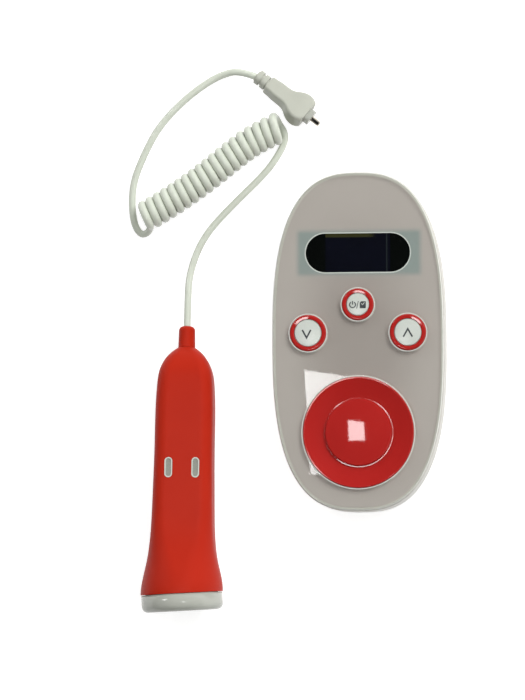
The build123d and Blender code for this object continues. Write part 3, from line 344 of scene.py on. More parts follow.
# ---------------------------------------------------------------- battery cells
# Two AA cells in printed shrink sleeves: a dark body and a copper-coloured band at the positive
# end, with bare plated steel at the nub. The sleeves are glossy, with light scuffs, and the cells
# lie head to tail.
cell_body_colour = "#20242B"
cell_band_colour = "#A8683A"
cell_steel_colour = "#B9B4AA"
cell_band_length = 0.012
cell_bare_length = 0.0016
cell_roughness = (0.18, 0.34)
scuff_mm = 4.0
for name, positive_at_right in (("battery_cell_1", True), ("battery_cell_2", False)):
    low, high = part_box(name)
    positive_end = high.x if positive_at_right else low.x
    sleeve, tree = new_material(name + "_sleeve")
    place = add_node(tree, "ShaderNodeTexCoord")
    split = add_node(tree, "ShaderNodeSeparateXYZ", [(0, place.outputs["Object"])])
    from_end = add_node(
        tree, "ShaderNodeMath", [(0, split.outputs["X"])], [(1, positive_end)], operation="SUBTRACT"
    )
    distance = add_node(tree, "ShaderNodeMath", [(0, from_end.outputs[0])], operation="ABSOLUTE")
    on_body = add_node(
        tree, "ShaderNodeMath", [(0, distance.outputs[0])], [(1, cell_band_length)],
        operation="GREATER_THAN",
    )
    is_bare = add_node(
        tree, "ShaderNodeMath", [(0, distance.outputs[0])], [(1, cell_bare_length)],
        operation="LESS_THAN",
    )
    scuffs = add_node(
        tree, "ShaderNodeTexNoise", [("Vector", place.outputs["Object"])],
        Scale=1000 / scuff_mm, Detail=4.0,
    )
    printed = add_node(
        tree, "ShaderNodeMix", [("Factor", on_body.outputs[0])],
        [(6, linear(cell_band_colour)), (7, linear(cell_body_colour))], data_type="RGBA",
    )
    colour = add_node(
        tree, "ShaderNodeMix", [("Factor", is_bare.outputs[0]), (6, printed.outputs[2])],
        [(7, linear(cell_steel_colour))], data_type="RGBA",
    )
    dulling = add_node(
        tree, "ShaderNodeMapRange", [("Value", scuffs.outputs["Fac"])], From_Min=noise_low,
        From_Max=noise_high, To_Min=cell_roughness[0], To_Max=cell_roughness[1],
    )
    film = add_node(
        tree, "ShaderNodeBsdfPrincipled",
        [("Base Color", colour.outputs[2]), ("Metallic", is_bare.outputs[0]),
         ("Roughness", dulling.outputs[0])],
    )
    add_node(tree, "ShaderNodeOutputMaterial", [("Surface", film.outputs[0])])
    finish_nodes(sleeve, name)

# ---------------------------------------------------------------- boards
# Glass-fibre boards under green solder resist. Copper tracks show through the resist as paler
# lines, one track pitch apart. The sockets, switches and components on the boards are black ABS
# with a soft sheen.
track_pitch_mm = 2.54
track_width_mm = 0.35
track_relief = 0.000035
weave_mm = 0.5
resist_roughness = (0.25, 0.40)

circuit_board, tree = new_material("green_solder_resist")
place = add_node(tree, "ShaderNodeTexCoord")
tracks = add_node(
    tree, "ShaderNodeTexBrick", [("Vector", place.outputs["Object"])],
    Color1=linear("#17502F"), Color2=linear("#1A5733"), Mortar=linear("#2F7A48"),
    Scale=1000 / track_pitch_mm, Mortar_Size=track_width_mm / track_pitch_mm / 2,
    Brick_Width=4.0, Row_Height=1.0,
)
weave = add_node(
    tree, "ShaderNodeTexNoise", [("Vector", place.outputs["Object"])],
    Scale=1000 / weave_mm, Detail=2.0,
)
dulling = add_node(
    tree, "ShaderNodeMapRange", [("Value", weave.outputs["Fac"])],
    From_Min=noise_low, From_Max=noise_high, To_Min=resist_roughness[0], To_Max=resist_roughness[1],
)
relief = add_node(
    tree, "ShaderNodeBump", [("Height", tracks.outputs["Fac"])],
    Strength=1.0, Distance=track_relief,
)
resist = add_node(
    tree, "ShaderNodeBsdfPrincipled",
    [("Base Color", tracks.outputs["Color"]), ("Roughness", dulling.outputs[0]),
     ("Normal", relief.outputs[0])],
)
add_node(tree, "ShaderNodeOutputMaterial", [("Surface", resist.outputs[0])])
finish_nodes(circuit_board, "main_board", "probe_board")

black_abs = even_finish(
    "black_abs_moulding", "#0B0D0C", "#111412",
    roughness=(0.30, 0.42), grain_mm=0.35, relief_mm=0.005,
)
finish_nodes(black_abs, "tact_switches", "board_components", "probe_socket", "earphone_socket")

# ---------------------------------------------------------------- loudspeaker
# A pressed and plated basket, a sintered ferrite magnet, and a cone of felted paper. Ferrite is
# charcoal grey with a dull ground face; paper is matt and fibrous.
ferrite = even_finish(
    "sintered_ferrite", "#26272A", "#313236",
    roughness=(0.50, 0.70), grain_mm=0.20, relief_mm=0.010,
)
finish_nodes(ferrite, "loudspeaker_magnet")
cone_paper = even_finish(
    "felted_cone_paper", "#1B1B1A", "#2B2A28",
    roughness=(0.75, 0.90), grain_mm=0.40, relief_mm=0.040, patch_mm=2.0,
)
finish_nodes(cone_paper, "loudspeaker_cone")

# ---------------------------------------------------------------- display
# A liquid-crystal cell behind black-edged glass. It is off, so it shows deep navy, with a pale
# seal line at its right and the olive strip of its contacts along the top. The frame that holds
# it is black ABS from a polished tool, with sharp highlights.
polished_black = even_finish(
    "black_polished_abs", "#030504", "#060908",
    roughness=(0.08, 0.14), grain_mm=0.6, relief_mm=0.001,
)
finish_nodes(polished_black, "display_frame")

crystal_colours = ("#090A12", "#0E101D")
cloudiness_mm = 8.0
seal_line_colour = "#262C2E"
seal_line_x = 0.0128
seal_line_width = 0.0005
contact_strip_colour = "#37361F"
contact_strip_width = 0.0013
contact_strip_faded = 1.6 * contact_strip_width
contact_strip_end = 0.0085
contact_strip_end_fade = 0.004
display_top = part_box("display_glass")[1].y

display_glass, tree = new_material("liquid_crystal_glass")
place = add_node(tree, "ShaderNodeTexCoord")
split = add_node(tree, "ShaderNodeSeparateXYZ", [(0, place.outputs["Object"])])
from_line = add_node(
    tree, "ShaderNodeMath", [(0, split.outputs["X"])], [(1, seal_line_x)], operation="SUBTRACT"
)
line_distance = add_node(tree, "ShaderNodeMath", [(0, from_line.outputs[0])], operation="ABSOLUTE")
line_mark = add_node(
    tree, "ShaderNodeMapRange", [("Value", line_distance.outputs[0])],
    interpolation_type="SMOOTHSTEP", From_Min=0.0, From_Max=seal_line_width, To_Min=1.0, To_Max=0.0,
)
strip_across = add_node(
    tree, "ShaderNodeMapRange", [("Value", split.outputs["Y"])],
    interpolation_type="SMOOTHSTEP", From_Min=display_top - contact_strip_faded,
    From_Max=display_top - contact_strip_width, To_Min=0.0, To_Max=1.0,
)
strip_along = add_node(
    tree, "ShaderNodeMapRange", [("Value", split.outputs["X"])],
    interpolation_type="SMOOTHSTEP", From_Min=contact_strip_end - contact_strip_end_fade,
    From_Max=contact_strip_end, To_Min=1.0, To_Max=0.0,
)
strip_mark = add_node(
    tree, "ShaderNodeMath", [(0, strip_across.outputs[0]), (1, strip_along.outputs[0])],
    operation="MULTIPLY",
)
cloudiness = add_node(
    tree, "ShaderNodeTexNoise", [("Vector", place.outputs["Object"])],
    Scale=1000 / cloudiness_mm, Detail=2.0,
)
crystal = add_node(
    tree, "ShaderNodeMix", [("Factor", cloudiness.outputs["Fac"])],
    [(6, linear(crystal_colours[0])), (7, linear(crystal_colours[1]))], data_type="RGBA",
)
with_line = add_node(
    tree, "ShaderNodeMix", [("Factor", line_mark.outputs[0]), (6, crystal.outputs[2])],
    [(7, linear(seal_line_colour))], data_type="RGBA",
)
with_strip = add_node(
    tree, "ShaderNodeMix", [("Factor", strip_mark.outputs[0]), (6, with_line.outputs[2])],
    [(7, linear(contact_strip_colour))], data_type="RGBA",
)
glass = add_node(
    tree, "ShaderNodeBsdfPrincipled", [("Base Color", with_strip.outputs[2])],
    Roughness=0.05, IOR=1.52,
)
add_node(tree, "ShaderNodeOutputMaterial", [("Surface", glass.outputs[0])])
finish_nodes(display_glass, "display_glass")


# ---------------------------------------------------------------- printed film
# A thin film screen-printed in warm pearl grey, a dull ink, which lies under the clear panel. Its
# window has a fine white edge. Round the window a faintly green, darker rectangle is painted shade
# for the display's recess behind the thin film, and the ink is painted lighter towards the film's
# oval edge as a painted sheen.
def add_piece(name, shape, material, body, smooth_below=0):
    """A new object from an edited mesh, with its material and its body.

    Edges that turn by less than smooth_below degrees are shaded smooth.
    """
    bmesh.ops.recalc_face_normals(shape, faces=shape.faces)
    mesh = bpy.data.meshes.new(name)
    shape.to_mesh(mesh)
    shape.free()
    mesh.materials.append(material)
    if smooth_below:
        mesh.shade_smooth()
        mesh.set_sharp_from_angle(angle=math.radians(smooth_below))
    piece = bpy.data.objects.new(name, mesh)
    scene_objects.link(piece)
    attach(piece, body)
    return piece


display_y = 0.0392
window_half_length = 0.0231
window_half_width = 0.0086
white_edge_colour = "#D8DAD6"
white_edge_width = 0.00045
# Painted shade: a darker, faintly green rectangle where the display's recess lies behind the film.
recess_shade_colour = "#929B98"
recess_shade_left = -0.0267
recess_shade_right = 0.0277
recess_shade_half_width = 0.0098
recess_shade_softness = 0.0017
# The lighter ink colour serves both the ink's random clouds and a painted sheen towards the film's
# edge.
ink_and_sheen_colours = ("#A39994", "#B9B0AB")
ink_roughness = (0.40, 0.60)
cloud_mm = 18.0
cloud_weight = 0.3
flake_mm = 0.4
# Painted sheen: how far out from the middle the ink starts and stops growing lighter.
painted_sheen_start = 0.25
painted_sheen_full = 0.95
most_painted_sheen = 0.8
film_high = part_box("printed_film")[1]

pearl_print, tree = new_material("pearl_grey_screen_print")
place = add_node(tree, "ShaderNodeTexCoord")
split = add_node(tree, "ShaderNodeSeparateXYZ", [(0, place.outputs["Object"])])
sideways = add_node(tree, "ShaderNodeMath", [(0, split.outputs["X"])], operation="ABSOLUTE")
past_straight = add_node(
    tree, "ShaderNodeMath", [(0, sideways.outputs[0])],
    [(1, window_half_length - window_half_width)], operation="SUBTRACT",
)
end_reach = add_node(
    tree, "ShaderNodeMath", [(0, past_straight.outputs[0])], [(1, 0.0)], operation="MAXIMUM"
)
above = add_node(
    tree, "ShaderNodeMath", [(0, split.outputs["Y"])], [(1, display_y)], operation="SUBTRACT"
)
spot = add_node(tree, "ShaderNodeCombineXYZ", [(0, end_reach.outputs[0]), (1, above.outputs[0])])
reach = add_node(tree, "ShaderNodeVectorMath", [(0, spot.outputs[0])], operation="LENGTH")
is_edge = add_node(
    tree, "ShaderNodeMath", [(0, reach.outputs["Value"])],
    [(1, window_half_width + white_edge_width)], operation="LESS_THAN",
)
# The painted shade's soft-edged rectangle round the window.
up_or_down = add_node(tree, "ShaderNodeMath", [(0, above.outputs[0])], operation="ABSOLUTE")
recess_shade_across = add_node(
    tree, "ShaderNodeMapRange", [("Value", up_or_down.outputs[0])],
    interpolation_type="SMOOTHSTEP", From_Min=recess_shade_half_width - recess_shade_softness,
    From_Max=recess_shade_half_width + recess_shade_softness, To_Min=1.0, To_Max=0.0,
)
recess_shade_from = add_node(
    tree, "ShaderNodeMapRange", [("Value", split.outputs["X"])],
    interpolation_type="SMOOTHSTEP", From_Min=recess_shade_left - recess_shade_softness,
    From_Max=recess_shade_left + recess_shade_softness, To_Min=0.0, To_Max=1.0,
)
recess_shade_to = add_node(
    tree, "ShaderNodeMapRange", [("Value", split.outputs["X"])],
    interpolation_type="SMOOTHSTEP", From_Min=recess_shade_right - recess_shade_softness,
    From_Max=recess_shade_right + recess_shade_softness, To_Min=1.0, To_Max=0.0,
)
recess_shade_along = add_node(
    tree, "ShaderNodeMath", [(0, recess_shade_from.outputs[0]), (1, recess_shade_to.outputs[0])],
    operation="MULTIPLY",
)
recess_shade = add_node(
    tree, "ShaderNodeMath", [(0, recess_shade_along.outputs[0]), (1, recess_shade_across.outputs[0])],
    operation="MULTIPLY",
)
clouds = add_node(
    tree, "ShaderNodeTexNoise", [("Vector", place.outputs["Object"])],
    Scale=1000 / cloud_mm, Detail=2.0,
)
flakes = add_node(
    tree, "ShaderNodeTexNoise", [("Vector", place.outputs["Object"])],
    Scale=1000 / flake_mm, Detail=1.0,
)
# Painted sheen: the ink is mixed lighter towards the film's oval edge.
oval_place = add_node(
    tree, "ShaderNodeVectorMath", [(0, place.outputs["Object"])],
    [(1, (1 / film_high.x, 1 / film_high.y, 0.0))], operation="MULTIPLY",
)
from_middle = add_node(
    tree, "ShaderNodeVectorMath", [(0, oval_place.outputs[0])], operation="LENGTH"
)
painted_sheen_share = add_node(
    tree, "ShaderNodeMapRange", [("Value", from_middle.outputs["Value"])],
    interpolation_type="SMOOTHSTEP", From_Min=painted_sheen_start, From_Max=painted_sheen_full,
    To_Min=0.0, To_Max=most_painted_sheen,
)
cloud_and_sheen_share = add_node(
    tree, "ShaderNodeMath", [(0, clouds.outputs["Fac"]), (2, painted_sheen_share.outputs[0])],
    [(1, cloud_weight)], operation="MULTIPLY_ADD",
)
ink = add_node(
    tree, "ShaderNodeMix", [("Factor", cloud_and_sheen_share.outputs[0])],
    [(6, linear(ink_and_sheen_colours[0])), (7, linear(ink_and_sheen_colours[1]))], data_type="RGBA",
)
# The painted shade is laid over the ink.
recess_shaded = add_node(
    tree, "ShaderNodeMix", [("Factor", recess_shade.outputs[0]), (6, ink.outputs[2])],
    [(7, linear(recess_shade_colour))], data_type="RGBA",
)
edged = add_node(
    tree, "ShaderNodeMix", [("Factor", is_edge.outputs[0]), (6, recess_shaded.outputs[2])],
    [(7, linear(white_edge_colour))], data_type="RGBA",
)
dulling = add_node(
    tree, "ShaderNodeMapRange", [("Value", flakes.outputs["Fac"])],
    From_Min=noise_low, From_Max=noise_high, To_Min=ink_roughness[0], To_Max=ink_roughness[1],
)
ink_film = add_node(
    tree, "ShaderNodeBsdfPrincipled",
    [("Base Color", edged.outputs[2]), ("Roughness", dulling.outputs[0])], IOR=1.45,
)
add_node(tree, "ShaderNodeOutputMaterial", [("Surface", ink_film.outputs[0])])

# The sheet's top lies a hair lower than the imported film's, clear of the panel, and its outline
# reaches a little further, to the panel's edge.
film_clearance = 0.00004
print_reach = 0.0006
outline_share = 0.97
level_tolerance = 0.00001
merge_distance = 1e-6
shape = bmesh.new()
shape.from_mesh(nodes["printed_film"].data)
bmesh.ops.remove_doubles(shape, verts=shape.verts, dist=merge_distance)
for vertex in shape.verts:
    if vertex.co.z > film_high.z - level_tolerance:
        vertex.co.z = film_high.z - film_clearance
    oval_share = math.hypot(vertex.co.x / film_high.x, vertex.co.y / film_high.y)
    if oval_share > outline_share:
        vertex.co.x *= 1 + print_reach / film_high.x
        vertex.co.y *= 1 + print_reach / film_high.y
print_sheet = add_piece("print_sheet", shape, pearl_print, "console")
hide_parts("printed_film")

# ---------------------------------------------------------------- clear panel
# Clear acrylic, cut to the oval. Light goes straight through it, and its polished outer face
# mirrors what is above it; faint smears dull the mirror. Its cut edges, at the outline and at the
# four round holes, are frosted by the cutter and catch the light as fine white lines.
acrylic_ior = 1.49
acrylic_colour = "#FBFCFB"
acrylic_roughness = (0.010, 0.045)
smear_mm = 7.0
smear_start = 0.45
smear_full = 0.75

clear_acrylic, tree = new_material("clear_cast_acrylic")
place = add_node(tree, "ShaderNodeTexCoord")
smears = add_node(
    tree, "ShaderNodeTexNoise", [("Vector", place.outputs["Object"])],
    Scale=1000 / smear_mm, Detail=3.0,
)
dulling = add_node(
    tree, "ShaderNodeMapRange", [("Value", smears.outputs["Fac"])], From_Min=smear_start,
    From_Max=smear_full, To_Min=acrylic_roughness[0], To_Max=acrylic_roughness[1],
)
mirror_share = add_node(tree, "ShaderNodeFresnel", IOR=acrylic_ior)
facing = add_node(tree, "ShaderNodeNewGeometry")
outer_only = add_node(
    tree, "ShaderNodeMath", [(1, facing.outputs["Backfacing"])], [(0, 1.0)],
    operation="SUBTRACT",
)
outer_mirror = add_node(
    tree, "ShaderNodeMath", [(0, mirror_share.outputs[0]), (1, outer_only.outputs[0])],
    operation="MULTIPLY",
)
through = add_node(tree, "ShaderNodeBsdfTransparent", Color=linear(acrylic_colour))
mirror = add_node(
    tree, "ShaderNodeBsdfGlossy", [("Roughness", dulling.outputs[0])], Color=linear("#FFFFFF")
)
acrylic = add_node(
    tree, "ShaderNodeMixShader",
    [(0, outer_mirror.outputs[0]), (1, through.outputs[0]), (2, mirror.outputs[0])],
)
add_node(tree, "ShaderNodeOutputMaterial", [("Surface", acrylic.outputs[0])])
finish_nodes(clear_acrylic, "front_panel")

cut_acrylic = even_finish(
    "frosted_cut_acrylic", "#D6D7D1", "#E2E3DD", roughness=(0.35, 0.50), grain_mm=0.25,
    relief_mm=0.004, patch_mm=3.0, ior=acrylic_ior,
)
nodes["front_panel"].data.materials.append(cut_acrylic)

# A face of the cut edge leans, so its normal points neither sideways nor straight up.
leaning_least = 0.95
leaning_most = 0.3
for polygon in nodes["front_panel"].data.polygons:
    if leaning_most < polygon.normal.z < leaning_least:
        polygon.material_index = 1


def turned_ring(shape, centre, profile, count=96):
    """Adds a ring turned from a closed profile of radius and height, in millimetres."""
    rings = []
    for index in range(count):
        turn = 2 * math.pi * index / count
        rings.append([
            shape.verts.new((
                (centre[0] + radius * math.cos(turn)) / 1000,
                (centre[1] + radius * math.sin(turn)) / 1000,
                height / 1000,
            ))
            for radius, height in profile
        ])
    for index, ring in enumerate(rings):
        following = rings[(index + 1) % count]
        for corner in range(len(profile)):
            after = (corner + 1) % len(profile)
            shape.faces.new((ring[corner], following[corner], following[after], ring[after]))


power_centre = (0.0, 16.2)
down_centre = (-22.1, 3.7)
up_centre = (22.1, 3.7)
speaker_centre = (0.0, -40.3)
panel_holes = [
    (power_centre, 7.25), (down_centre, 8.25), (up_centre, 8.25), (speaker_centre, 24.85),
]
panel_top = 27.75
cut_edge_width = 0.3
cut_edge_height = 0.02
turned_smoothing = 35
shape = bmesh.new()
for centre, radius in panel_holes:
    turned_ring(shape, centre, [
        (radius, panel_top - cut_edge_width),
        (radius, panel_top + cut_edge_height),
        (radius + cut_edge_width, panel_top + cut_edge_height),
        (radius + cut_edge_width, panel_top),
    ])
add_piece("panel_hole_edges", shape, cut_acrylic, "console", turned_smoothing)

# ---------------------------------------------------------------- red rings and speaker cover
# The three bezels, the dished speaker cover and the cap in its middle are red ABS from a polished
# tool, so they mirror the lamps sharply. The floor round the cap falls a few degrees inwards. A
# bezel's outer half is rounded over, and its inner half slopes down to the button.
red_gloss = even_finish(
    "red_polished_abs", "#A9221F", "#B02623",
    roughness=(0.035, 0.060), grain_mm=0.8, relief_mm=0.0002, patch_mm=12.0,
)
finish_nodes(red_gloss, "speaker_cover", "speaker_cap")

slot_floor_inner = 14.0
slot_floor_outer = 15.33
slot_floor_foot = 25.55
slot_floor_low = 25.62
slot_floor_slope = math.radians(3.8)
shape = bmesh.new()
turned_ring(shape, speaker_centre, [
    (slot_floor_inner, slot_floor_foot),
    (slot_floor_outer, slot_floor_foot),
    (slot_floor_outer,
     slot_floor_low + (slot_floor_outer - slot_floor_inner) * math.tan(slot_floor_slope)),
    (slot_floor_inner, slot_floor_low),
])
add_piece("slot_floor", shape, red_gloss, "console", turned_smoothing)

bezel_skirt_step = 0.8
bezel_foot = 25.5
bezel_shoulder = 27.3
bezel_crest = 28.15
bezel_slope_width = 1.05
bezel_slope = math.radians(4.2)
bezel_slope_rings = (0.06, 0.35, 0.65, bezel_slope_width - 0.12)
bezel_bore_drop = 0.10
shoulder_steps = 10
for name, centre, outer, bore in (
    ("power_bezel", power_centre, 7.05, 5.15),
    ("down_bezel", down_centre, 8.05, 6.12),
    ("up_bezel", up_centre, 8.05, 6.12),
):
    skirt_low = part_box(name)[0].z * 1000
    crest_radius = bore + bezel_slope_width
    profile = [
        (bore, skirt_low), (outer - bezel_skirt_step, skirt_low),
        (outer - bezel_skirt_step, bezel_foot), (outer, bezel_foot),
    ]
    for step in range(shoulder_steps + 1):
        angle = math.pi / 2 * step / shoulder_steps
        profile.append((
            crest_radius + (outer - crest_radius) * math.cos(angle),
            bezel_shoulder + (bezel_crest - bezel_shoulder) * math.sin(angle),
        ))
    for inwards in bezel_slope_rings:
        profile.append((crest_radius - inwards, bezel_crest - inwards * math.tan(bezel_slope)))
    profile.append((
        bore, bezel_crest - bezel_slope_width * math.tan(bezel_slope) - bezel_bore_drop
    ))
    shape = bmesh.new()
    turned_ring(shape, centre, profile)
    ring = add_piece(
        name.replace("bezel", "ring"), shape, red_gloss, "console",
        turned_smoothing,
    )
    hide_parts(name)

# ---------------------------------------------------------------- buttons
# Three domed ABS caps, sprayed with a fine silver paint that gleams softly, with their signs
# pad-printed in a dull dark grey. The ink lies on the dome, a few hundredths of a millimetre
# proud.
silver_paint = even_finish(
    "fine_silver_paint", "#BFC5BD", "#CBD0C8",
    roughness=(0.20, 0.32), grain_mm=0.25, relief_mm=0.002, patch_mm=6.0,
)
finish_nodes(silver_paint, "power_button", "down_button", "up_button")
sign_ink = even_finish(
    "dark_grey_pad_ink", "#34393B", "#3C4143",
    roughness=(0.40, 0.50), grain_mm=0.30, relief_mm=0.001,
)
pale_ink = even_finish(
    "silver_pad_ink", "#BCC1BA", "#C6CBC4",
    roughness=(0.30, 0.40), grain_mm=0.30, relief_mm=0.001,
)

cap_rim_level = 27.9
dome_rise = 0.35
ink_foot = -0.01
ink_height = 0.03
upper_ink_height = 0.05
ink_step = 0.4
arc_steps = 24
mitre_limit = 0.4


def along(points):
    """A path of 2-D points in millimetres with more points on its straight runs."""
    path = [Vector(points[0])]
    for before, after in zip(points, points[1:]):
        run = Vector(after) - Vector(before)
        count = max(1, round(run.length / ink_step))
        for index in range(1, count + 1):
            path.append(Vector(before) + run * index / count)
    return path


def arc(centre, radius, start, end):
    """Points on an arc from one angle to another, in degrees."""
    points = []
    for index in range(arc_steps + 1):
        angle = math.radians(start + (end - start) * index / arc_steps)
        points.append((centre[0] + radius * math.cos(angle), centre[1] + radius * math.sin(angle)))
    return points


def stroke(points, width):
    """The outline of a pen stroke along a path, with mitred corners and square ends."""
    path = along(points)
    left, right = [], []
    for index, point in enumerate(path):
        into = (point - path[index - 1]).normalized() if index else None
        out_of = (path[index + 1] - point).normalized() if index < len(path) - 1 else None
        into, out_of = into or out_of, out_of or into
        bisector = (into + out_of).normalized()
        reach = width / 2 / max(mitre_limit, bisector.dot(into))
        normal = Vector((-bisector.y, bisector.x)) * reach
        left.append(point + normal)
        right.append(point - normal)
    return left + right[::-1]


def closed(points):
    """A closed outline with more points on its straight runs."""
    return along(list(points) + [points[0]])[:-1]


def print_on_cap(name, body, cap_radius, centre, outlines, ink, height):
    """Ink in the shape of 2-D outlines, laid on a button's dome as one thin closed sheet."""
    shape = bmesh.new()
    for outline in outlines:
        levels = []
        for lift in (ink_foot, height):
            ring = []
            for point in outline:
                share = (point[0] ** 2 + point[1] ** 2) / cap_radius ** 2
                level = cap_rim_level + dome_rise * (1 - share) + lift
                ring.append(shape.verts.new(
                    ((centre[0] + point[0]) / 1000, (centre[1] + point[1]) / 1000, level / 1000)
                ))
            levels.append(ring)
        bottom, top = levels
        for triangle in tessellate_polygon([[(x, y, 0.0) for x, y in outline]]):
            shape.faces.new([top[index] for index in triangle])
            shape.faces.new([bottom[index] for index in reversed(triangle)])
        for index in range(len(outline)):
            following = (index + 1) % len(outline)
            shape.faces.new((bottom[index], bottom[following], top[following], top[index]))
    add_piece(name, shape, ink, body)


small_cap = 4.7
large_cap = 5.67
print_on_cap(
    "power_sign", "power_button", small_cap, power_centre,
    [
        stroke(arc((-2.25, -0.20), radius=1.30, start=122, end=418), width=0.48),
        stroke([(-2.25, -0.15), (-2.25, 1.45)], width=0.48),
        stroke([(0.30, 1.35), (-0.45, -1.95)], width=0.34),
    ],
    sign_ink, ink_height,
)
print_on_cap(
    "record_sign", "power_button", small_cap, power_centre,
    [closed([(0.95, -1.80), (3.60, -1.80), (3.60, 1.30), (1.60, 1.30), (0.95, 0.65)])],
    sign_ink, ink_height,
)
print_on_cap(
    "record_sign_tick", "power_button", small_cap, power_centre,
    [stroke([(1.65, 0.30), (2.20, -0.25), (3.05, 0.80)], width=0.28)],
    pale_ink, upper_ink_height,
)
print_on_cap(
    "down_sign", "down_button", large_cap, down_centre,
    [stroke([(-2.45, 1.35), (-0.55, -2.20), (1.30, 1.35)], width=0.70)],
    sign_ink, ink_height,
)
print_on_cap(
    "up_sign", "up_button", large_cap, up_centre,
    [stroke([(-2.00, -2.10), (0.00, 1.45), (2.00, -2.10)], width=0.70)],
    sign_ink, ink_height,
)

# ---------------------------------------------------------------- probe handle
# Two half-shells of red ABS from a finely eroded tool, and a strain relief of the same red: a
# satin skin that spreads highlights softly.
satin_skin_ior = 1.30
red_satin = even_finish(
    "red_satin_abs", "#AF2009", "#B7250C", roughness=(0.46, 0.60), grain_mm=0.30,
    relief_mm=0.008, patch_mm=14.0, ior=satin_skin_ior,
)
finish_nodes(red_satin, "probe_top_shell", "probe_bottom_shell", "strain_relief")

# ---------------------------------------------------------------- probe cap
# The round cap over the probe's face is white ABS from a polished tool, like the plug's collar: a
# little greyer than the shells, with sharper highlights. Its rim is well rounded over.
polished_white = even_finish(
    "white_polished_abs", "#A8AAA1", "#B2B4AB",
    roughness=(0.07, 0.12), grain_mm=0.6, relief_mm=0.001, patch_mm=12.0,
)
finish_nodes(polished_white, "plug_collar")

cap_radius = 0.01805
cap_length = 0.0083
cap_corner = 0.0015
cap_round = 0.0027
rim_growth = cap_round / cap_corner - 1
cap_face_shift = 0.0006
cap_tolerance = 0.00005
cap_smoothing = 30
shape = bmesh.new()
shape.from_mesh(nodes["probe_cap"].data)
bmesh.ops.remove_doubles(shape, verts=shape.verts, dist=merge_distance)
outward = max(shape.faces, key=lambda face: face.calc_area()).normal.copy()
face_level = max(vertex.co.dot(outward) for vertex in shape.verts)
cap_low, cap_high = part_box("probe_cap")
middle = (Vector(cap_low) + Vector(cap_high)) / 2
middle.y = (
    face_level - cap_length / 2 - outward.x * middle.x - outward.z * middle.z
) / outward.y
for vertex in shape.verts:
    depth = face_level - vertex.co.dot(outward)
    spoke = vertex.co - middle
    spoke -= outward * spoke.dot(outward)
    inset = cap_radius - spoke.length
    on_rim = max(inset, depth) < cap_corner + cap_tolerance
    if on_rim:
        vertex.co -= (outward * depth + spoke.normalized() * inset) * rim_growth
    if on_rim or depth < cap_tolerance:
        vertex.co -= outward * cap_face_shift
face_cap = add_piece("face_cap", shape, polished_white, "probe", cap_smoothing)
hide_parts("probe_cap")

# ---------------------------------------------------------------- indicators
# Two light windows in milky polycarbonate, each a raised rim round a sunk face. The face carries
# a smoke-grey diffuser moulded with a field of tiny lens domes that spread the light from below.
polycarbonate_ior = 1.58
milky_rim = even_finish(
    "milky_polycarbonate", "#CED2C8", "#D6DAD0", roughness=(0.14, 0.22), grain_mm=0.5,
    relief_mm=0.002, patch_mm=4.0, ior=polycarbonate_ior,
)
finish_nodes(milky_rim, "indicator_left", "indicator_right")
diffuser_grey = even_finish(
    "smoked_polycarbonate", "#8F9188", "#A5A79D", roughness=(0.10, 0.20), grain_mm=0.3,
    relief_mm=0.004, patch_mm=0.8, ior=polycarbonate_ior,
)

floor_normal = Vector((0.001, 0.086, 0.996)).normalized()
floor_centres = [
    Vector((-0.084541, -0.054972, 0.024054)),
    Vector((-0.072543, -0.055149, 0.024054)),
]
diffuser_half_straight = 0.0028
diffuser_half_width = 0.00112
diffuser_thickness = 0.00006
across_probe = (floor_centres[1] - floor_centres[0]).normalized()
along_probe = floor_normal.cross(across_probe).normalized()
end_steps = 12
shape = bmesh.new()
for centre in floor_centres:
    levels = []
    for height in (0.0, diffuser_thickness):
        ring = []
        for end, sign in ((0.0, 1.0), (math.pi, -1.0)):
            for step in range(end_steps + 1):
                turn = end + math.pi * step / end_steps
                lengthwise = diffuser_half_width * math.sin(turn) + sign * diffuser_half_straight
                ring.append(shape.verts.new(
                    centre + floor_normal * height
                    + across_probe * diffuser_half_width * math.cos(turn)
                    + along_probe * lengthwise
                ))
        levels.append(ring)
    bottom, top = levels
    shape.faces.new(top)
    shape.faces.new(bottom[::-1])
    for index in range(len(bottom)):
        following = (index + 1) % len(bottom)
        shape.faces.new((bottom[index], bottom[following], top[following], top[index]))
bmesh.ops.recalc_face_normals(shape, faces=shape.faces)
plate_mesh = bpy.data.meshes.new("diffuser_plates")
shape.to_mesh(plate_mesh)
shape.free()
diffuser_plates = bpy.data.objects.new("diffuser_plates", plate_mesh)
scene_objects.link(diffuser_plates)

lens_radius = 0.00017
lens_spacing = 0.00036
lens_flattening = 0.6
lens_subdivisions = 3
lens_seed = 4
most_per_square_metre = 2.0e7
top_face_cosine = 0.9
lens_smoothing = 40

lens_tree = bpy.data.node_groups.new("lens_field", "GeometryNodeTree")
for name, kind, direction in (
    ("Plate", "NodeSocketGeometry", "INPUT"), ("Spacing", "NodeSocketFloat", "INPUT"),
    ("Lens Radius", "NodeSocketFloat", "INPUT"), ("Seed", "NodeSocketInt", "INPUT"),
    ("Lens Material", "NodeSocketMaterial", "INPUT"), ("Lenses", "NodeSocketGeometry", "OUTPUT"),
):
    lens_tree.interface.new_socket(name, socket_type=kind, in_out=direction)
given = add_node(lens_tree, "NodeGroupInput")
facing = add_node(lens_tree, "GeometryNodeInputNormal")
upward = add_node(
    lens_tree, "ShaderNodeVectorMath", [(0, facing.outputs[0])], [(1, tuple(floor_normal))],
    operation="DOT_PRODUCT",
)
is_top = add_node(
    lens_tree, "FunctionNodeCompare", [(0, upward.outputs["Value"])], [(1, top_face_cosine)],
    operation="GREATER_THAN",
)
spots = add_node(
    lens_tree, "GeometryNodeDistributePointsOnFaces",
    [("Mesh", given.outputs["Plate"]), ("Selection", is_top.outputs[0]),
     ("Distance Min", given.outputs["Spacing"]), ("Seed", given.outputs["Seed"])],
    [("Density Max", most_per_square_metre)], distribute_method="POISSON",
)
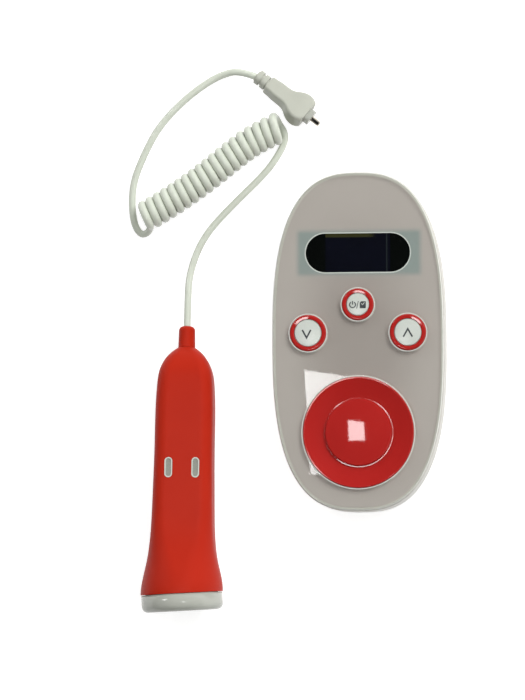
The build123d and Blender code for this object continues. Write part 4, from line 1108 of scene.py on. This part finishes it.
lens = add_node(
    lens_tree, "GeometryNodeMeshIcoSphere", [("Radius", given.outputs["Lens Radius"])],
    [("Subdivisions", lens_subdivisions)],
)
placed = add_node(
    lens_tree, "GeometryNodeInstanceOnPoints",
    [("Points", spots.outputs["Points"]), ("Instance", lens.outputs["Mesh"]),
     ("Rotation", spots.outputs["Rotation"])],
    [("Scale", (1.0, 1.0, lens_flattening))],
)
joined = add_node(
    lens_tree, "GeometryNodeJoinGeometry", [(0, placed.outputs[0]), (0, given.outputs["Plate"])]
)
real = add_node(lens_tree, "GeometryNodeRealizeInstances", [(0, joined.outputs[0])])
painted = add_node(
    lens_tree, "GeometryNodeSetMaterial",
    [("Geometry", real.outputs[0]), ("Material", given.outputs["Lens Material"])],
)
add_node(lens_tree, "NodeGroupOutput", [(0, painted.outputs[0])])
modifier = diffuser_plates.modifiers.new("lens_field", "NODES")
modifier.node_group = lens_tree
for name, value in (
    ("Spacing", lens_spacing), ("Lens Radius", lens_radius), ("Seed", lens_seed),
    ("Lens Material", diffuser_grey),
):
    modifier[lens_tree.interface.items_tree[name].identifier] = value
depsgraph = bpy.context.evaluated_depsgraph_get()
lens_mesh = bpy.data.meshes.new_from_object(diffuser_plates.evaluated_get(depsgraph))
diffuser_plates.modifiers.clear()
bpy.data.objects.remove(diffuser_plates)
shape = bmesh.new()
shape.from_mesh(lens_mesh)
add_piece("diffusers", shape, diffuser_grey, "probe", lens_smoothing)

# ---------------------------------------------------------------- inside the probe
# Two half-disc crystals of fired ceramic with satin silvered faces, glued to a block of dead matt
# grey foam rubber that deadens them from behind.
ceramic = even_finish(
    "silvered_ceramic", "#B9B4A4", "#C7C2B2",
    roughness=(0.35, 0.50), grain_mm=0.20, relief_mm=0.004, patch_mm=3.0,
)
finish_nodes(ceramic, "piezo_crystals")
foam = even_finish(
    "grey_foam_rubber", "#55585A", "#65686A",
    roughness=(0.80, 0.95), grain_mm=0.50, relief_mm=0.060, patch_mm=2.0,
)
finish_nodes(foam, "crystal_backing")

# ---------------------------------------------------------------- plug
# The plug is overmoulded in soft white PVC with a matt skin. Its collar is harder and glossier,
# and its pin is turned brass with bright nickel plating.
matt_pvc = even_finish(
    "white_matt_pvc", "#B1B3A7", "#BABCB0",
    roughness=(0.36, 0.48), grain_mm=0.4, relief_mm=0.008, patch_mm=5.0,
)
finish_nodes(matt_pvc, "plug_relief", "plug_body")
finish_nodes(nickel_plate, "plug_pin")

# ---------------------------------------------------------------- cord
# One smooth lead in glossy soft PVC: a plain run from the probe, a curly part of close left-handed
# turns that stay wound by themselves, and a plain run to the plug. It lies on the table, and the
# curly part is drawn a little thicker, as winding flattens the lead.
white_pvc = even_finish(
    "white_soft_pvc", "#CFD5C6", "#D9DED1",
    roughness=(0.14, 0.22), grain_mm=0.7, relief_mm=0.004, patch_mm=5.0,
)

cord_diameter = 0.0031
probe_end = [
    (-0.07758, 0.00700, 0.00827),
    (-0.07742, 0.02075, 0.00710),
    (-0.07690, 0.03350, 0.00300),
    (-0.07070, 0.04940, 0.00160),
    (-0.05660, 0.06420, 0.00160),
    (-0.04250, 0.07750, 0.00160),
    (-0.03620, 0.08660, 0.00160),
    (-0.03400, 0.09180, 0.00160),
]
coil_axis = [
    (-0.0361, 0.0971),
    (-0.0467, 0.0925),
    (-0.0574, 0.0846),
    (-0.0709, 0.0738),
    (-0.0855, 0.0639),
    (-0.0974, 0.0571),
]
plug_end = [
    (-0.0957, 0.0507, 0.0033),
    (-0.0990, 0.0501, 0.0018),
    (-0.1020, 0.0548, 0.0016),
    (-0.1030, 0.0640, 0.0016),
    (-0.1022, 0.0740, 0.0016),
    (-0.0980, 0.0848, 0.0016),
    (-0.0910, 0.0984, 0.0016),
    (-0.0803, 0.1096, 0.0016),
    (-0.0709, 0.1169, 0.0016),
    (-0.0626, 0.1215, 0.0022),
    (-0.0537, 0.1232, 0.0048),
    (-0.0448, 0.1192, 0.0067),
]
coil_height = 0.00720
coil_radius = 0.00520
coil_swelling = 1.24
coil_pitch = 0.00386
first_top_at = 0.0020
top_of_turn = 0.75
first_turn = 0.18
last_turn = 19.04
first_turn_stretch = 0.25
first_turn_widening = 0.05
points_per_turn = 14
plain_points_before = 3
plain_points_after = 2


def nurbs_curve(name, points):
    """An open NURBS spline of order 3 that ends on its first and last points."""
    curve = bpy.data.curves.new(name, "CURVE")
    curve.dimensions = "3D"
    spline = curve.splines.new("NURBS")
    spline.points.add(len(points) - 1)
    for point, place in zip(spline.points, points):
        point.co = (*place, 1.0)
    spline.order_u = 3
    spline.use_endpoint_u = True
    return curve


axis_holder = bpy.data.objects.new(
    "coil_axis", nurbs_curve("coil_axis", [(x, y, coil_height) for x, y in coil_axis])
)
axis_holder.data.resolution_u = 24
scene_objects.link(axis_holder)
depsgraph = bpy.context.evaluated_depsgraph_get()
axis_mesh = bpy.data.meshes.new_from_object(axis_holder.evaluated_get(depsgraph))
axis_places = [vertex.co.copy() for vertex in axis_mesh.vertices]
bpy.data.objects.remove(axis_holder)


def on_axis(distance):
    """The point and direction at a distance along the coil's axis, straight on past its ends."""
    remaining = distance
    for before, after in zip(axis_places, axis_places[1:]):
        step = after - before
        if remaining <= step.length or after is axis_places[-1]:
            return before + step.normalized() * remaining, step.normalized()
        remaining -= step.length


# A spline of order 3 passes inside its control points: at its nearest to one, that point weighs
# three quarters and the two beside it the rest.
own_weight = 0.75
neighbour_weight = 1 - own_weight
control_radius = coil_radius / (
    own_weight + neighbour_weight * math.cos(2 * math.pi / points_per_turn)
)
turn_points = []
for index in range(round((last_turn - first_turn) * points_per_turn) + 1):
    turns = first_turn + index / points_per_turn
    end_slack = max(0.0, 1.0 - turns)
    centre, forward = on_axis(
        first_top_at + coil_pitch * (turns - top_of_turn - first_turn_stretch * end_slack)
    )
    sideways = Vector((forward.y, -forward.x, 0.0))
    angle = 2 * math.pi * turns - math.pi
    radius = control_radius * (1.0 + first_turn_widening * end_slack)
    turn_points.append(centre + sideways * radius * math.cos(angle) + Vector((
        0.0, 0.0, radius * math.sin(angle) + radius - control_radius
    )))

cord_points = probe_end + [tuple(point) for point in turn_points] + plug_end
cord_curve = nurbs_curve("cord", cord_points)
swollen_from = len(probe_end) + plain_points_before
swollen_to = len(cord_points) - len(plug_end) - plain_points_after
for point in cord_curve.splines[0].points[swollen_from:swollen_to]:
    point.radius = coil_swelling
cord_curve.resolution_u = 6
cord_curve.bevel_depth = cord_diameter / 2
cord_curve.bevel_resolution = 5
cord_curve.use_fill_caps = True
cord_curve.materials.append(white_pvc)
cord = bpy.data.objects.new("cord", cord_curve)
scene_objects.link(cord)
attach(cord, "probe")
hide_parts("cord_probe_run", "cord_coil", "cord_plug_run")
